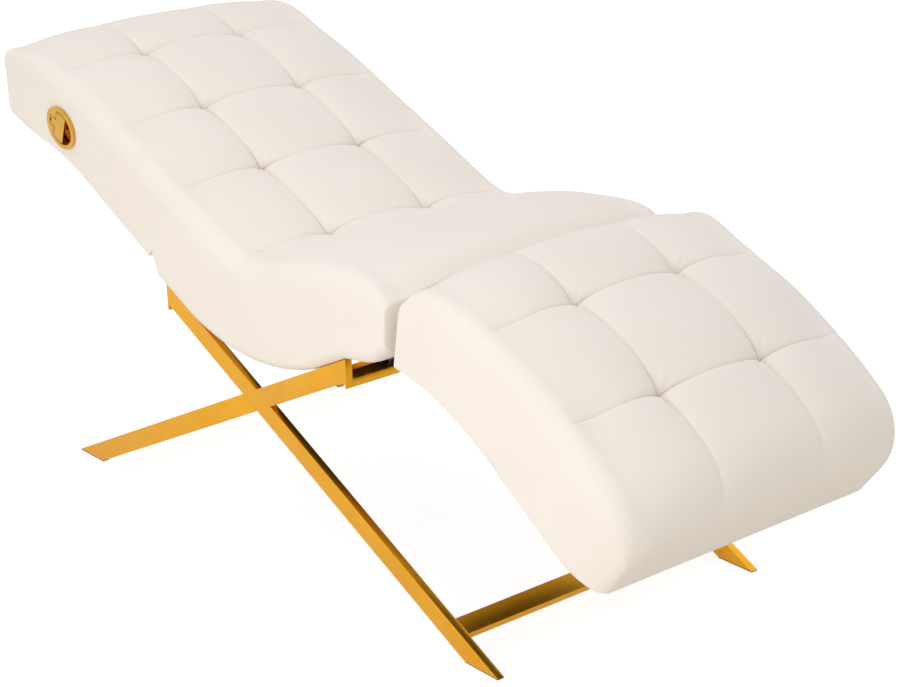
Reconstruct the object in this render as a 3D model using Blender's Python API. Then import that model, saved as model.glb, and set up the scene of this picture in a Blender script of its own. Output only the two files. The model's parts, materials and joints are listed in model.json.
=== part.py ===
"""An eyelash extension bed: tufted couch in three sections on a crossed tube frame.

X runs from the head end to the foot end, Y across the bed, Z up. The origin is on the floor, midway
between the two ends and the two sides. The right side of a person lying on the bed is at negative Y.
All sizes are in metres and all angles in radians.
"""

import math

import bmesh
import bpy
from mathutils import Matrix, Vector

MM = 0.001

# General fits
GAP = 0.3 * MM
OVERRUN = 10 * MM
PIVOT_CLEARANCE = 0.1 * MM

# Crossed tube frame, measured from its own centre line
FRAME_OFFSET = -93 * MM
FRAME_HEIGHT = 488 * MM
FRAME_TOP_REACH = 298 * MM
FRAME_HALF_WIDTH = 324 * MM
TUBE_SLOPE = math.radians(25.77)
TUBE_DEPTH = 40 * MM
TUBE_THICKNESS = 16 * MM
TUBE_WALL = 1.5 * MM
END_PLATE_THICKNESS = 3 * MM
TOP_CROSSBAR_DROP = 58 * MM
FLOOR_CROSSBAR_INSET = 133.5 * MM
GLIDE_HEIGHT = 2 * MM
GLIDE_MARGIN = 1 * MM

# Sections of the couch, measured from the centre of the frame and from its top
BACK_LENGTH = 620.9 * MM
HEAD_RISE = 387 * MM
SEAT_REACH = 443 * MM
SEAT_RISE = 175 * MM
SECTION_SPACE = 20 * MM
LEG_REST_LENGTH = 595 * MM
LEG_REST_RISE = 191 * MM
LEG_REST_FALL = 408 * MM
BELLY_DROP = 86 * MM
COUCH_HALF_WIDTH = 340 * MM
UNDERSIDE_INSET = 6 * MM
BELLY_INSET = 16 * MM
SIDE_DRAW = 4 * MM
EDGE_ROUND = 46 * MM
HEAD_ROUNDS = (13 * MM, 10 * MM, 14 * MM)
LEG_REAR_ROUNDS = (18 * MM, 8 * MM, 14 * MM)
FOOT_ROUNDS = (82 * MM, 42 * MM, 38 * MM)

# Quilting
COLUMN_SEAM = 119 * MM
SEAM_DEPTH = 10 * MM
TUFT_DEPTH = 28 * MM
TUFT_RADIUS = 30 * MM
CROWN = 22 * MM
CROWN_RUN = 60 * MM
SEAT_SEAM_FADE = 60 * MM
PUFF_SHARE = 0.35
PUFF_RUN_SHARE = 0.7
END_PUFF_SHARE = 0.67
FADE_SHARE = 0.7
UNDERSIDE_SHARE = 1.6
END_STEP_SHARES = (0.45, 0.8, 1.0)
OUTER_LINE_SHARES = (0.85, 0.55, 0.28, 0.09, 0.0)
MIDDLE_LINE_SHARES = (0.86, 0.5, 0.0)

# Outlines in side view: shares of the reach and of the rise of each section
BACK_TOP_SHARES = (
    (0.982, 0.99), (0.9099, 1.01), (0.8197, 1.009), (0.7227, 0.981), (0.5798, 0.915),
    (0.4023, 0.814), (0.161, 0.646), (0.0002, 0.537), (-0.1094, 0.463),
)
BACK_BOTTOM_SHARES = (
    (0.9737, 0.638), (0.8502, 0.566), (0.7213, 0.522), (0.5618, 0.432), (0.4176, 0.319),
    (0.2706, 0.212), (0.1527, 0.127),
)
SEAT_TOP_SHARES = (
    (-0.62, 1.27), (-0.542, 1.189), (-0.316, 0.949), (-0.19, 0.82), (-0.06, 0.708), (0.06, 0.70),
    (0.20, 0.782), (0.40, 0.912), (0.60, 0.992), (0.80, 1.015), (0.92, 0.965), (1.0, 0.83),
)
SEAT_REAR_SHARES = ((-0.704, 0.24), (-0.691, 0.105), (-0.655, 0.0))
SEAT_FRONT_SHARES = ((0.673, 0.0), (0.79, 0.045), (0.89, 0.12), (0.987, 0.29))
LEG_TOP_SHARES = (
    (0.045, 0.07), (0.10, 0.01), (0.165, -0.01), (0.25, 0.01), (0.41, 0.094), (0.575, 0.194),
    (0.736, 0.333), (0.85, 0.450), (0.908, 0.520),
)
LEG_BOTTOM_SHARES = (
    (0.005, 0.390), (0.10, 0.416), (0.284, 0.507), (0.536, 0.713), (0.770, 0.951), (0.795, 0.970),
)
BACK_SEAM_SHARES = (0.67, 0.3219)
SEAT_SEAM_SHARE = -0.052
LEG_SEAM_SHARES = (0.388, 0.740)
FOLD_SHARE = -0.542
ROW_STEP_SHARES = (0.0, 0.07, 0.25, 0.5, 0.75, 0.93)
COVER_SHARES = (-1, -0.78, -0.56, -0.34, -0.12, 0.12, 0.34, 0.56, 0.78, 1)
SEAT_STEP_SHARES = (0.0, 0.06, 0.2, 0.36, 0.52, 0.68, 0.83, 0.94, 1.0)

# Folds and hinge axes
FOLD_DEPTH = 36 * MM
FOLD_SLOPE_SHARE = 1.7
LEG_HINGE_AHEAD = 6 * MM
LEG_HINGE_RISE = 39 * MM
HEAD_BULGE = 17 * MM
LEG_REAR_BULGE = 6 * MM
FOOT_BULGE = 76 * MM

# Boards, rails and wells
SIDE_WALL = 55 * MM
BOARD_THICKNESS = 15 * MM
RAIL_THICKNESS = 18 * MM
CROSS_RAIL_LENGTH = 25 * MM
SEAT_BOARD_RISE = 24 * MM
SEAT_RAIL_DROP = 34 * MM
SEAT_RAIL_SETBACK = 32 * MM
SEAT_RAIL_SPACE = 2.7 * MM
SEAT_REAR_WALL = 25 * MM
SEAT_FRONT_WALL = 41 * MM
BACK_WELL_DEPTH = 85 * MM
BACK_WELL_START = 35 * MM
BACK_WELL_END = 490 * MM
LEG_WELL_DEPTH = 100 * MM
LEG_WELL_START = 40 * MM
LEG_WELL_END = 430 * MM
SECTION_RAIL_DROP = 55 * MM
COVER_THICKNESS = 1.5 * MM
COVER_MARGIN = 10 * MM
CABLE_CHANNEL = 22 * MM

# Hinges
PLATE_THICKNESS = 5 * MM
PIVOT_RADIUS = 5 * MM
PIVOT_HEAD_RADIUS = 8 * MM
PIVOT_HEAD_HEIGHT = 2.5 * MM
EYE_RADIUS = 13 * MM
EYE_SPACE = 5 * MM
ARM_WIDTH = 26 * MM
ARM_START = 36 * MM
ARM_LAP = 84 * MM
SEAT_PLATE_LAP = 45 * MM
SLOT_MARGIN = 0.6 * MM
LOCK_RADIUS = 13.5 * MM
LOCK_THICKNESS = 8 * MM
CAM_THICKNESS = 3 * MM
CAM_ARM = 36 * MM
CAM_RADIUS = 10 * MM
CAM_TIP_RADIUS = 6 * MM

# Seat brackets
BRACKET_WIDTH = 40 * MM
BRACKET_THICKNESS = 4 * MM
BRACKET_SETBACK = 12.5 * MM
BRACKET_MARGIN = 6 * MM
BOLT_RADIUS = 3 * MM
BOLT_HEAD_RADIUS = 5.5 * MM
BOLT_HEAD_HEIGHT = 4 * MM
BOLT_REACH = 12 * MM

# Release handle, in the side of the backrest
CUP_ALONG = 357.5 * MM
CUP_UP = 82 * MM
CUP_LENGTH = 106 * MM
CUP_HEIGHT = 82 * MM
CUP_FLANGE = 5 * MM
CUP_SETBACK = 2.6 * MM
CUP_RIM = 9 * MM
CUP_WALL = 2 * MM
CUP_DEPTH = 22 * MM
LEVER_THICKNESS = 4.5 * MM
LEVER_CLEARANCE = 1.6 * MM
NECK_END = 40 * MM
NECK_ROOT = 20 * MM
NECK_HEIGHT = 20 * MM
PADDLE_END = 15 * MM
LEVER_PIVOT_SETBACK = 3.2 * MM
PIN_RADIUS = 1.1 * MM
PIN_HOLE_CLEARANCE = 0.1 * MM
PIN_SEAT = 4 * MM
COIL_TURNS = 4
COIL_RADIUS = 1.75 * MM
COIL_WIRE_RADIUS = 0.3 * MM
COIL_PITCH = 1.4 * MM
COIL_SPACE = 8 * MM
CABLE_RADIUS = 2.5 * MM
CABLE_HOLE_CLEARANCE = 0.7 * MM
CABLE_ENTRY = 29 * MM
CABLE_BEND = 13 * MM
CABLE_SWEEP = 60 * MM
CABLE_CLIMB = 85 * MM
CABLE_DEPTH = 76.5 * MM
CABLE_INSET = 14 * MM
CABLE_FREE = 22 * MM

ROUND_SIDES = 24
BOLT_SIDES = 6
OVAL_STEPS = 36
COIL_STEPS = 12
THIN_SIDES = 8


def clear_scene():
    for item in list(bpy.data.objects):
        bpy.data.objects.remove(item, do_unlink=True)


def new_material(name, colour, roughness, metallic):
    material = bpy.data.materials.new(name)
    material.use_nodes = True
    shader = material.node_tree.nodes["Principled BSDF"]
    shader.inputs["Base Color"].default_value = (*colour, 1.0)
    shader.inputs["Roughness"].default_value = roughness
    shader.inputs["Metallic"].default_value = metallic
    return material


FINISHES = {
    "cream_velvet": ((0.87, 0.81, 0.73), 0.85, 0.0),
    "gold_paint": ((0.80, 0.45, 0.07), 0.35, 0.8),
    "gold_plate": ((0.83, 0.55, 0.13), 0.22, 0.95),
    "plywood": ((0.62, 0.46, 0.28), 0.7, 0.0),
    "pine": ((0.70, 0.53, 0.33), 0.7, 0.0),
    "black_steel": ((0.03, 0.03, 0.03), 0.45, 0.6),
    "zinc_steel": ((0.55, 0.56, 0.58), 0.35, 0.9),
    "black_cloth": ((0.02, 0.02, 0.02), 0.95, 0.0),
    "black_rubber": ((0.03, 0.03, 0.03), 0.8, 0.0),
}


def finish(item, key):
    material = new_material(f"{item.name}_{key}", *FINISHES[key])
    item.data.materials.clear()
    item.data.materials.append(material)
    return item


def add_object(name, mesh, key):
    item = bpy.data.objects.new(name, mesh)
    bpy.context.scene.collection.objects.link(item)
    return finish(item, key)


def add_bmesh(name, shape, key):
    bmesh.ops.recalc_face_normals(shape, faces=shape.faces)
    mesh = bpy.data.meshes.new(name)
    shape.to_mesh(mesh)
    shape.free()
    return add_object(name, mesh, key)


def set_pivot(item, pivot):
    """Moves an object's origin to its joint axis and leaves its shape where it is."""
    item.data.transform(Matrix.Translation(-Vector(pivot)))
    item.location = pivot
    return item


def smooth(item, angle=math.radians(40)):
    item.data.shade_smooth()
    item.data.set_sharp_from_angle(angle=angle)
    return item


def add_prism(shape, outline, low, high):
    """A flat outline of (x, z) points, extruded across the bed from low to high."""
    base = [shape.verts.new((x, low, z)) for x, z in outline]
    face = shape.faces.new(base)
    pushed = bmesh.ops.extrude_face_region(shape, geom=[face])
    moved = [v for v in pushed["geom"] if isinstance(v, bmesh.types.BMVert)]
    bmesh.ops.translate(shape, verts=moved, vec=(0, high - low, 0))


def prism(name, outline, low, high, key):
    shape = bmesh.new()
    add_prism(shape, outline, low, high)
    return add_bmesh(name, shape, key)


def turned(name, centre, axis, profile, key, sides=ROUND_SIDES):
    """A round piece: a closed profile of (radius, place along the axis) points, turned."""
    shape = bmesh.new()
    turn = Vector(axis).to_track_quat("Z", "Y").to_matrix().to_4x4()
    place = Matrix.Translation(centre) @ turn
    loops = []
    for radius, reach in profile:
        if radius:
            angles = [2 * math.pi * step / sides for step in range(sides)]
            ends = [(radius * math.cos(a), radius * math.sin(a), reach) for a in angles]
        else:
            ends = [(0, 0, reach)]
        loops.append([shape.verts.new(place @ Vector(end)) for end in ends])
    closed = all(radius for radius, reach in profile)
    pairs = list(zip(loops, loops[1:]))
    if closed:
        pairs.append((loops[-1], loops[0]))
    for near, far in pairs:
        for i in range(sides):
            j = (i + 1) % sides
            corners = [near[i % len(near)], near[j % len(near)]]
            corners += [far[j % len(far)], far[i % len(far)]]
            shape.faces.new(list(dict.fromkeys(corners)))
    return smooth(add_bmesh(name, shape, key))


def rod(name, start, end, radius, key, sides=ROUND_SIDES):
    start, end = Vector(start), Vector(end)
    length = (end - start).length
    profile = [(0, 0), (radius, 0), (radius, length), (0, length)]
    return turned(name, start, end - start, profile, key, sides)


def swept(name, points, radius, key, sides=THIN_SIDES):
    """A round tube along a path, with flat ends."""
    points = [Vector(point) for point in points]
    shape = bmesh.new()
    across = (points[1] - points[0]).orthogonal().normalized()
    loops = []
    for i, point in enumerate(points):
        ahead = points[min(i + 1, len(points) - 1)] - points[max(i - 1, 0)]
        ahead.normalize()
        across = (across - ahead * across.dot(ahead)).normalized()
        beside = ahead.cross(across)
        angles = [2 * math.pi * step / sides for step in range(sides)]
        ends = [point + (across * math.cos(a) + beside * math.sin(a)) * radius for a in angles]
        loops.append([shape.verts.new(end) for end in ends])
    for near, far in zip(loops, loops[1:]):
        for i in range(sides):
            j = (i + 1) % sides
            shape.faces.new((near[i], near[j], far[j], far[i]))
    shape.faces.new(loops[0])
    shape.faces.new(loops[-1])
    return smooth(add_bmesh(name, shape, key))


def rounded_path(corners, radii, steps=5):
    """The path through the corners, with each inner corner rounded."""
    corners = [Vector(corner) for corner in corners]
    path = [corners[0]]
    for before, corner, after, radius in zip(corners, corners[1:], corners[2:], radii):
        start = corner + (before - corner).normalized() * radius
        end = corner + (after - corner).normalized() * radius
        for step in range(steps + 1):
            t = step / steps
            path.append(start * (1 - t) ** 2 + corner * 2 * t * (1 - t) + end * t * t)
    path.append(corners[-1])
    return path


def as_cutter(item):
    item.hide_render = True
    item.display_type = "WIRE"
    item.name = f"{item.name}_cutter"
    return item


def cut(target, cutter, operation="DIFFERENCE"):
    modifier = target.modifiers.new(cutter.name, "BOOLEAN")
    modifier.operation = operation
    modifier.solver = "EXACT"
    modifier.object = cutter


def arc(centre, radius, start, end, steps):
    """Points on a round stretch, from angle start to angle end."""
    turn = (end - start) / steps
    return [
        (
            centre[0] + radius * math.cos(start + turn * step),
            centre[1] + radius * math.sin(start + turn * step),
        )
        for step in range(steps + 1)
    ]


def curve_through(points):
    """A smooth height along the bed through hand-placed points."""
    xs = [point[0] for point in points]
    zs = [point[1] for point in points]
    rises = [(zs[i + 1] - zs[i]) / (xs[i + 1] - xs[i]) for i in range(len(xs) - 1)]
    slopes = [rises[0]]
    slopes += [(rises[i - 1] + rises[i]) / 2 for i in range(1, len(rises))]
    slopes += [rises[-1]]

    def height(x):
        last = len(xs) - 2
        i = max(0, min(last, sum(1 for start in xs[1:-1] if x >= start)))
        span = xs[i + 1] - xs[i]
        t = (x - xs[i]) / span
        if t < 0:
            return zs[i] + slopes[i] * (x - xs[i])
        if t > 1:
            return zs[i + 1] + slopes[i + 1] * (x - xs[i + 1])
        return (
            zs[i] * (1 + 2 * t) * (1 - t) ** 2
            + slopes[i] * span * t * (1 - t) ** 2
            + zs[i + 1] * t * t * (3 - 2 * t)
            + slopes[i + 1] * span * t * t * (t - 1)
        )

    return height


def along(reach, share):
    return FRAME_OFFSET + reach * share


def outline_points(shares, start, reach, base, rise):
    return [(FRAME_OFFSET + start + reach * x, base + rise * z) for x, z in shares]


TUBE_RUN = math.tan(TUBE_SLOPE)
TOP_CROSSBAR_RISE = FRAME_HEIGHT - TOP_CROSSBAR_DROP


def leg_top(x):
    """Height of the top face of the tube that falls towards positive x, from the frame's centre."""
    return FRAME_HEIGHT - TUBE_RUN * (x + FRAME_TOP_REACH)


def leg_foot(height):
    """Where that top face comes down to a height."""
    return (FRAME_HEIGHT - height) / TUBE_RUN - FRAME_TOP_REACH


FOLD_START = SEAT_REACH * FOLD_SHARE
back_top = curve_through(
    outline_points(BACK_TOP_SHARES, FOLD_START, -BACK_LENGTH, FRAME_HEIGHT, HEAD_RISE)
)
back_bottom = curve_through(
    outline_points(BACK_BOTTOM_SHARES, FOLD_START, -BACK_LENGTH, FRAME_HEIGHT, HEAD_RISE)
)
seat_top = curve_through(
    outline_points(SEAT_TOP_SHARES, 0, SEAT_REACH, FRAME_HEIGHT, SEAT_RISE)
)
seat_rear = curve_through(
    outline_points(SEAT_REAR_SHARES, 0, SEAT_REACH, FRAME_HEIGHT, SEAT_RISE)
)
seat_front = curve_through(
    outline_points(SEAT_FRONT_SHARES, 0, SEAT_REACH, FRAME_HEIGHT, SEAT_RISE)
)
LEG_REST_START = SEAT_REACH + SECTION_SPACE
LEG_REST_CREST = FRAME_HEIGHT + LEG_REST_RISE
leg_rest_top = curve_through(
    outline_points(
        LEG_TOP_SHARES, LEG_REST_START, LEG_REST_LENGTH, LEG_REST_CREST, -LEG_REST_FALL
    )
)
leg_rest_bottom = curve_through(
    outline_points(
        LEG_BOTTOM_SHARES, LEG_REST_START, LEG_REST_LENGTH, LEG_REST_CREST, -LEG_REST_FALL
    )
)


def seat_bottom(x):
    """The belly: a parabola that hangs in the frame and lies on the tubes' top faces."""
    out = x - FRAME_OFFSET
    if out < SEAT_REACH * SEAT_REAR_SHARES[-1][0]:
        return max(seat_rear(x), FRAME_HEIGHT + GAP)
    if out > SEAT_REACH * SEAT_FRONT_SHARES[0][0]:
        return max(seat_front(x), FRAME_HEIGHT + GAP)
    belly = FRAME_HEIGHT - BELLY_DROP * (1 - (out / FRAME_TOP_REACH) ** 2)
    return max(belly, leg_top(-abs(out)) + GAP)


FOLD_X = along(SEAT_REACH, FOLD_SHARE)
FOLD_Z = seat_top(FOLD_X) - FOLD_DEPTH
LEG_HINGE_X = along(SEAT_REACH, 1) + LEG_HINGE_AHEAD
LEG_HINGE_Z = FRAME_HEIGHT + LEG_HINGE_RISE

WELL_HALF_WIDTH = COUCH_HALF_WIDTH - SIDE_WALL

# Planes of the hinge plates: the seat's plates run inside the moving arms
PLATE_INNER = WELL_HALF_WIDTH - RAIL_THICKNESS - 2 * PLATE_THICKNESS - 4 * GAP
SEAT_PLATE = (PLATE_INNER, PLATE_INNER + PLATE_THICKNESS)
ARM_PLATE = (SEAT_PLATE[1] + GAP, SEAT_PLATE[1] + GAP + PLATE_THICKNESS)
SEAT_RAIL = (SEAT_PLATE[0] - GAP - RAIL_THICKNESS, SEAT_PLATE[0] - GAP)
SECTION_RAIL = (ARM_PLATE[1] + GAP, ARM_PLATE[1] + GAP + RAIL_THICKNESS)


class Slant:
    """The plane of a section's underside: u runs away from the seat, w stands up from it."""

    def __init__(self, near, far):
        self.near = near
        run, rise = far[0] - near[0], far[1] - near[1]
        length = math.hypot(run, rise)
        self.length = length
        self.u = (run / length, rise / length)
        turn = 1 if run > 0 else -1
        self.w = (-self.u[1] * turn, self.u[0] * turn)

    def point(self, u, w):
        return (
            self.near[0] + self.u[0] * u + self.w[0] * w,
            self.near[1] + self.u[1] * u + self.w[1] * w,
        )

    def solid_point(self, u, w, y):
        x, z = self.point(u, w)
        return Vector((x, y, z))

    def local(self, x, z):
        dx, dz = x - self.near[0], z - self.near[1]
        return dx * self.u[0] + dz * self.u[1], dx * self.w[0] + dz * self.w[1]

    def box(self, low_u, high_u, low_w, high_w):
        return [
            self.point(low_u, low_w),
            self.point(high_u, low_w),
            self.point(high_u, high_w),
            self.point(low_u, high_w),
        ]


def puff(t):
    return (4 * t * (1 - t)) ** PUFF_SHARE if 0 < t < 1 else 0.0


def open_puff(t):
    """A pillow that has its seam at t = 0 and no seam at t = 1."""
    t = max(0.0, min(1.0, t))
    return (1 - (1 - t) ** 2) ** PUFF_SHARE if t > 0 else 0.0


TOP_HALF = COUCH_HALF_WIDTH - EDGE_ROUND


def across_puff(y):
    y = abs(y)
    if y <= COLUMN_SEAM:
        return puff((y + COLUMN_SEAM) / (2 * COLUMN_SEAM)), 1.0
    share = (y - COLUMN_SEAM) / (TOP_HALF - COLUMN_SEAM)
    fade = 1 - max(0.0, min(1.0, (share - FADE_SHARE) / (1 - FADE_SHARE))) ** 2
    return open_puff(share / PUFF_RUN_SHARE), fade


def quilting(along_puff, tufts, x, y):
    """How far the seams and sewn tufts draw the surface down at a place."""
    puff_y, fade = across_puff(y)
    puff_x = 1 - (1 - along_puff) * fade
    depth = SEAM_DEPTH * (1 - puff_x * puff_y)
    for tuft_x in tufts:
        away = math.hypot(x - tuft_x, abs(y) - COLUMN_SEAM) / TUFT_RADIUS
        depth += TUFT_DEPTH * math.exp(-away * away)
    return depth


def rows_puff(x, seams, start, end):
    """The pillow shape along the bed, with seams across it and open ends."""
    if x < seams[0]:
        return open_puff((seams[0] - x) / (END_PUFF_SHARE * (seams[0] - start)))
    for low, high in zip(seams, seams[1:]):
        if x < high:
            return puff((x - low) / (high - low))
    return open_puff((x - seams[-1]) / (END_PUFF_SHARE * (end - seams[-1])))


def top_lines():
    """Places across the bed where the top has points, from the edge to the middle."""
    outer = TOP_HALF - COLUMN_SEAM
    lines = [TOP_HALF]
    lines += [COLUMN_SEAM + outer * share for share in OUTER_LINE_SHARES]
    lines += [COLUMN_SEAM * share for share in MIDDLE_LINE_SHARES]
    return lines


def ring(bottom, top, half, depth_at, crown, under=UNDERSIDE_INSET, squeeze=(0.0, 0.0, 0.0)):
    """One closed slice of a cushion, on the line from its bottom point to its top point.

    The squeeze draws its top down, its underside up and its sides in.
    """
    bottom, top = Vector(bottom), Vector(top)
    rise = top - bottom
    height = rise.length
    up = rise / height
    low = half - under
    right = [(0.0, 0.0), (low / 2, 0.0), (low - under, 0.0)]
    right += [(low, under / 4), (half, under * UNDERSIDE_SHARE)]
    right += [(half, height / 2)]
    corner = (half - EDGE_ROUND, height - EDGE_ROUND)
    right += arc(corner, EDGE_ROUND, 0, math.pi / 2, 3)[:-1]
    for line in top_lines():
        y = line * (half - EDGE_ROUND) / TOP_HALF
        swell = crown * (1 - (line / TOP_HALF) ** 2)
        right.append((y, height + swell - depth_at(line)))
    points = right + [(-y, w) for y, w in reversed(right[1:-1])]
    over, below, beside = squeeze
    narrow, lower = 1 - beside / half, (height - over - below) / height
    points = [(y * narrow, below + w * lower) for y, w in points]
    return [Vector((bottom.x + up.x * w, y, bottom.y + up.y * w)) for y, w in points]


def end_rings(bottom, top, half, depth_at, bulge, rounds, outward):
    """Slices that round off an end, each smaller and further out than the one before."""
    bottom, top = Vector(bottom), Vector(top)
    rise = (top - bottom).normalized()
    out = Vector((rise.y, -rise.x)) * outward
    rings = []
    for share in END_STEP_SHARES:
        reach = bulge * math.sin(share * math.pi / 2)
        squeeze = [size * (1 - math.cos(share * math.pi / 2)) for size in rounds]
        shift = out * reach
        calm = 1 - share
        rings.append(
            ring(
                bottom + shift, top + shift, half, lambda y: depth_at(y) * calm, CROWN * calm,
                squeeze=squeeze,
            )
        )
    return rings


def loft(name, rings, ceiling, key):
    """A closed skin over the slices. The ceiling keeps the top clear of a fold."""
    shape = bmesh.new()
    loops = []
    for points in rings:
        loops.append([shape.verts.new((p.x, p.y, min(p.z, ceiling(p.x)))) for p in points])
    count = len(loops[0])
    for near, far in zip(loops, loops[1:]):
        for i in range(count):
            j = (i + 1) % count
            shape.faces.new((near[i], near[j], far[j], far[i]))
    shape.faces.new(loops[0])
    shape.faces.new(loops[-1])
    item = add_bmesh(name, shape, key)
    return smooth(item, math.radians(60))


def spread(low, high, shares):
    return [low + (high - low) * share for share in shares]


def half_width(share):
    """The sides are drawn in a little between the corners of a section."""
    return COUCH_HALF_WIDTH - SIDE_DRAW * math.sin(math.pi * max(0.0, min(1.0, share)))


def quilted_rings(slices, tufts, quilt, fold, ends):
    """The rings of a quilted cushion, from slices of a bottom point and a top point each."""
    first, last = slices[0][1][0], slices[-1][1][0]

    def depth(x):
        return lambda y: quilting(quilt(x), tufts, x, y)

    def settings(low, high):
        x = high[0]
        crown = CROWN
        if fold is not None:
            crown *= min(1.0, abs(x - fold) / CROWN_RUN)
        return low, high, half_width((x - first) / (last - first)), depth(x), crown

    rings = [ring(*settings(low, high)) for low, high in slices]
    if ends[0]:
        rings = end_rings(*settings(*slices[0])[:4], *ends[0], -1)[::-1] + rings
    if ends[1]:
        rings += end_rings(*settings(*slices[-1])[:4], *ends[1], 1)
    return rings


def flat(y):
    return 0.0


def fold_ceiling(x):
    return FOLD_Z + FOLD_SLOPE_SHARE * abs(x - FOLD_X)


def no_ceiling(x):
    return math.inf


HEAD_TOP_X = FOLD_X - BACK_LENGTH * BACK_TOP_SHARES[0][0]
HEAD_BOTTOM_X = FOLD_X - BACK_LENGTH * BACK_BOTTOM_SHARES[0][0]
BACK_LOW_X = FOLD_X - BACK_LENGTH * BACK_BOTTOM_SHARES[-1][0]
SEAT_LOW_X = along(SEAT_REACH, SEAT_REAR_SHARES[0][0])
SEAT_FRONT_X = along(SEAT_REACH, 1)
SEAT_FRONT_LOW_X = along(SEAT_REACH, SEAT_FRONT_SHARES[-1][0])
BACK_SEAMS = [FOLD_X - BACK_LENGTH * share for share in BACK_SEAM_SHARES]
SEAT_SEAM = along(SEAT_REACH, SEAT_SEAM_SHARE)
LEG_REST_X = FRAME_OFFSET + LEG_REST_START
LEG_SEAMS = [LEG_REST_X + LEG_REST_LENGTH * share for share in LEG_SEAM_SHARES]
LEG_TOP_SPAN = [LEG_REST_X + LEG_REST_LENGTH * LEG_TOP_SHARES[i][0] for i in (0, -1)]
LEG_LOW_SPAN = [LEG_REST_X + LEG_REST_LENGTH * LEG_BOTTOM_SHARES[i][0] for i in (0, -1)]

BACK_SLANT = Slant(
    (BACK_LOW_X, back_bottom(BACK_LOW_X)), (HEAD_BOTTOM_X, back_bottom(HEAD_BOTTOM_X))
)
LEG_SLANT = Slant(
    (LEG_LOW_SPAN[0], leg_rest_bottom(LEG_LOW_SPAN[0])),
    (LEG_LOW_SPAN[1], leg_rest_bottom(LEG_LOW_SPAN[1])),
)
BACK_HINGE = BACK_SLANT.local(FOLD_X, FOLD_Z)
LEG_HINGE = LEG_SLANT.local(LEG_HINGE_X, LEG_HINGE_Z)
BACK_PIVOT = (FOLD_X, 0, FOLD_Z)
LEG_PIVOT = (LEG_HINGE_X, 0, LEG_HINGE_Z)


def shifted(outline):
    return [(x + FRAME_OFFSET, z) for x, z in outline]


def mirrored(outline):
    return [(-x, z) for x, z in outline]


def between(side, inner, outer):
    """The two faces of a piece that stands between two distances from the middle plane."""
    return sorted((side * inner, side * outer))


SIDES = (("right", -1), ("left", 1))
TUBE_CUT = TUBE_DEPTH / math.cos(TUBE_SLOPE)
INNER_FACE = FRAME_HALF_WIDTH - TUBE_THICKNESS
PLATE_FACE = FRAME_TOP_REACH - END_PLATE_THICKNESS
CROSSBAR_FRONT = FRAME_TOP_REACH - GAP
CROSSBAR_REAR = CROSSBAR_FRONT - TUBE_DEPTH
FOOT = leg_foot(GLIDE_HEIGHT)
HEEL = FOOT - TUBE_CUT / TUBE_RUN


def build_legs():
    """The crossed tubes: one runs through on each side, the other is cut and butted to it."""
    skin = TUBE_WALL / math.cos(TUBE_SLOPE)
    plate = [
        (-PLATE_FACE, leg_top(-PLATE_FACE) - TUBE_CUT),
        (-PLATE_FACE, TOP_CROSSBAR_RISE),
        (-FRAME_TOP_REACH, TOP_CROSSBAR_RISE),
        (-FRAME_TOP_REACH, FRAME_HEIGHT),
    ]
    through = plate + [(FOOT, GLIDE_HEIGHT), (HEEL, GLIDE_HEIGHT)]
    meet = (TUBE_CUT + GAP) / (2 * TUBE_RUN)
    near = GAP / (2 * TUBE_RUN)
    upper = plate + [(-near, leg_top(-near)), (-meet, leg_top(-meet) - TUBE_CUT)]
    lower = [
        (meet, leg_top(meet)),
        (FOOT, GLIDE_HEIGHT),
        (HEEL, GLIDE_HEIGHT),
        (near, leg_top(near) - TUBE_CUT),
    ]
    end = FOOT + OVERRUN
    bore = [
        (-PLATE_FACE, leg_top(-PLATE_FACE) - skin),
        (end, leg_top(end) - skin),
        (end, leg_top(end) - TUBE_CUT + skin),
        (-PLATE_FACE, leg_top(-PLATE_FACE) - TUBE_CUT + skin),
    ]
    pieces = (
        ("foot_end_leg", through, bore),
        ("head_end_leg_upper", mirrored(upper), mirrored(bore)),
        ("head_end_leg_lower", mirrored(lower), mirrored(bore)),
    )
    for side, sign in SIDES:
        for name, outline, hollow in pieces:
            faces = between(sign, INNER_FACE, FRAME_HALF_WIDTH)
            tube = prism(f"{side}_{name}", shifted(outline), *faces, "gold_paint")
            inside = (faces[0] + TUBE_WALL, faces[1] - TUBE_WALL)
            core = prism(f"{side}_{name}_bore", shifted(hollow), *inside, "gold_paint")
            cut(tube, as_cutter(core))


def inset_box(corners, wall):
    """The four corners of a box outline, each moved in by the wall on both of its sides."""
    inner = []
    for i in range(4):
        here, after, before = (Vector(corners[j % 4]) for j in (i, i + 1, i - 1))
        step = (after - here).normalized() + (before - here).normalized()
        inner.append(tuple(here + step * wall))
    return inner


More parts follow.
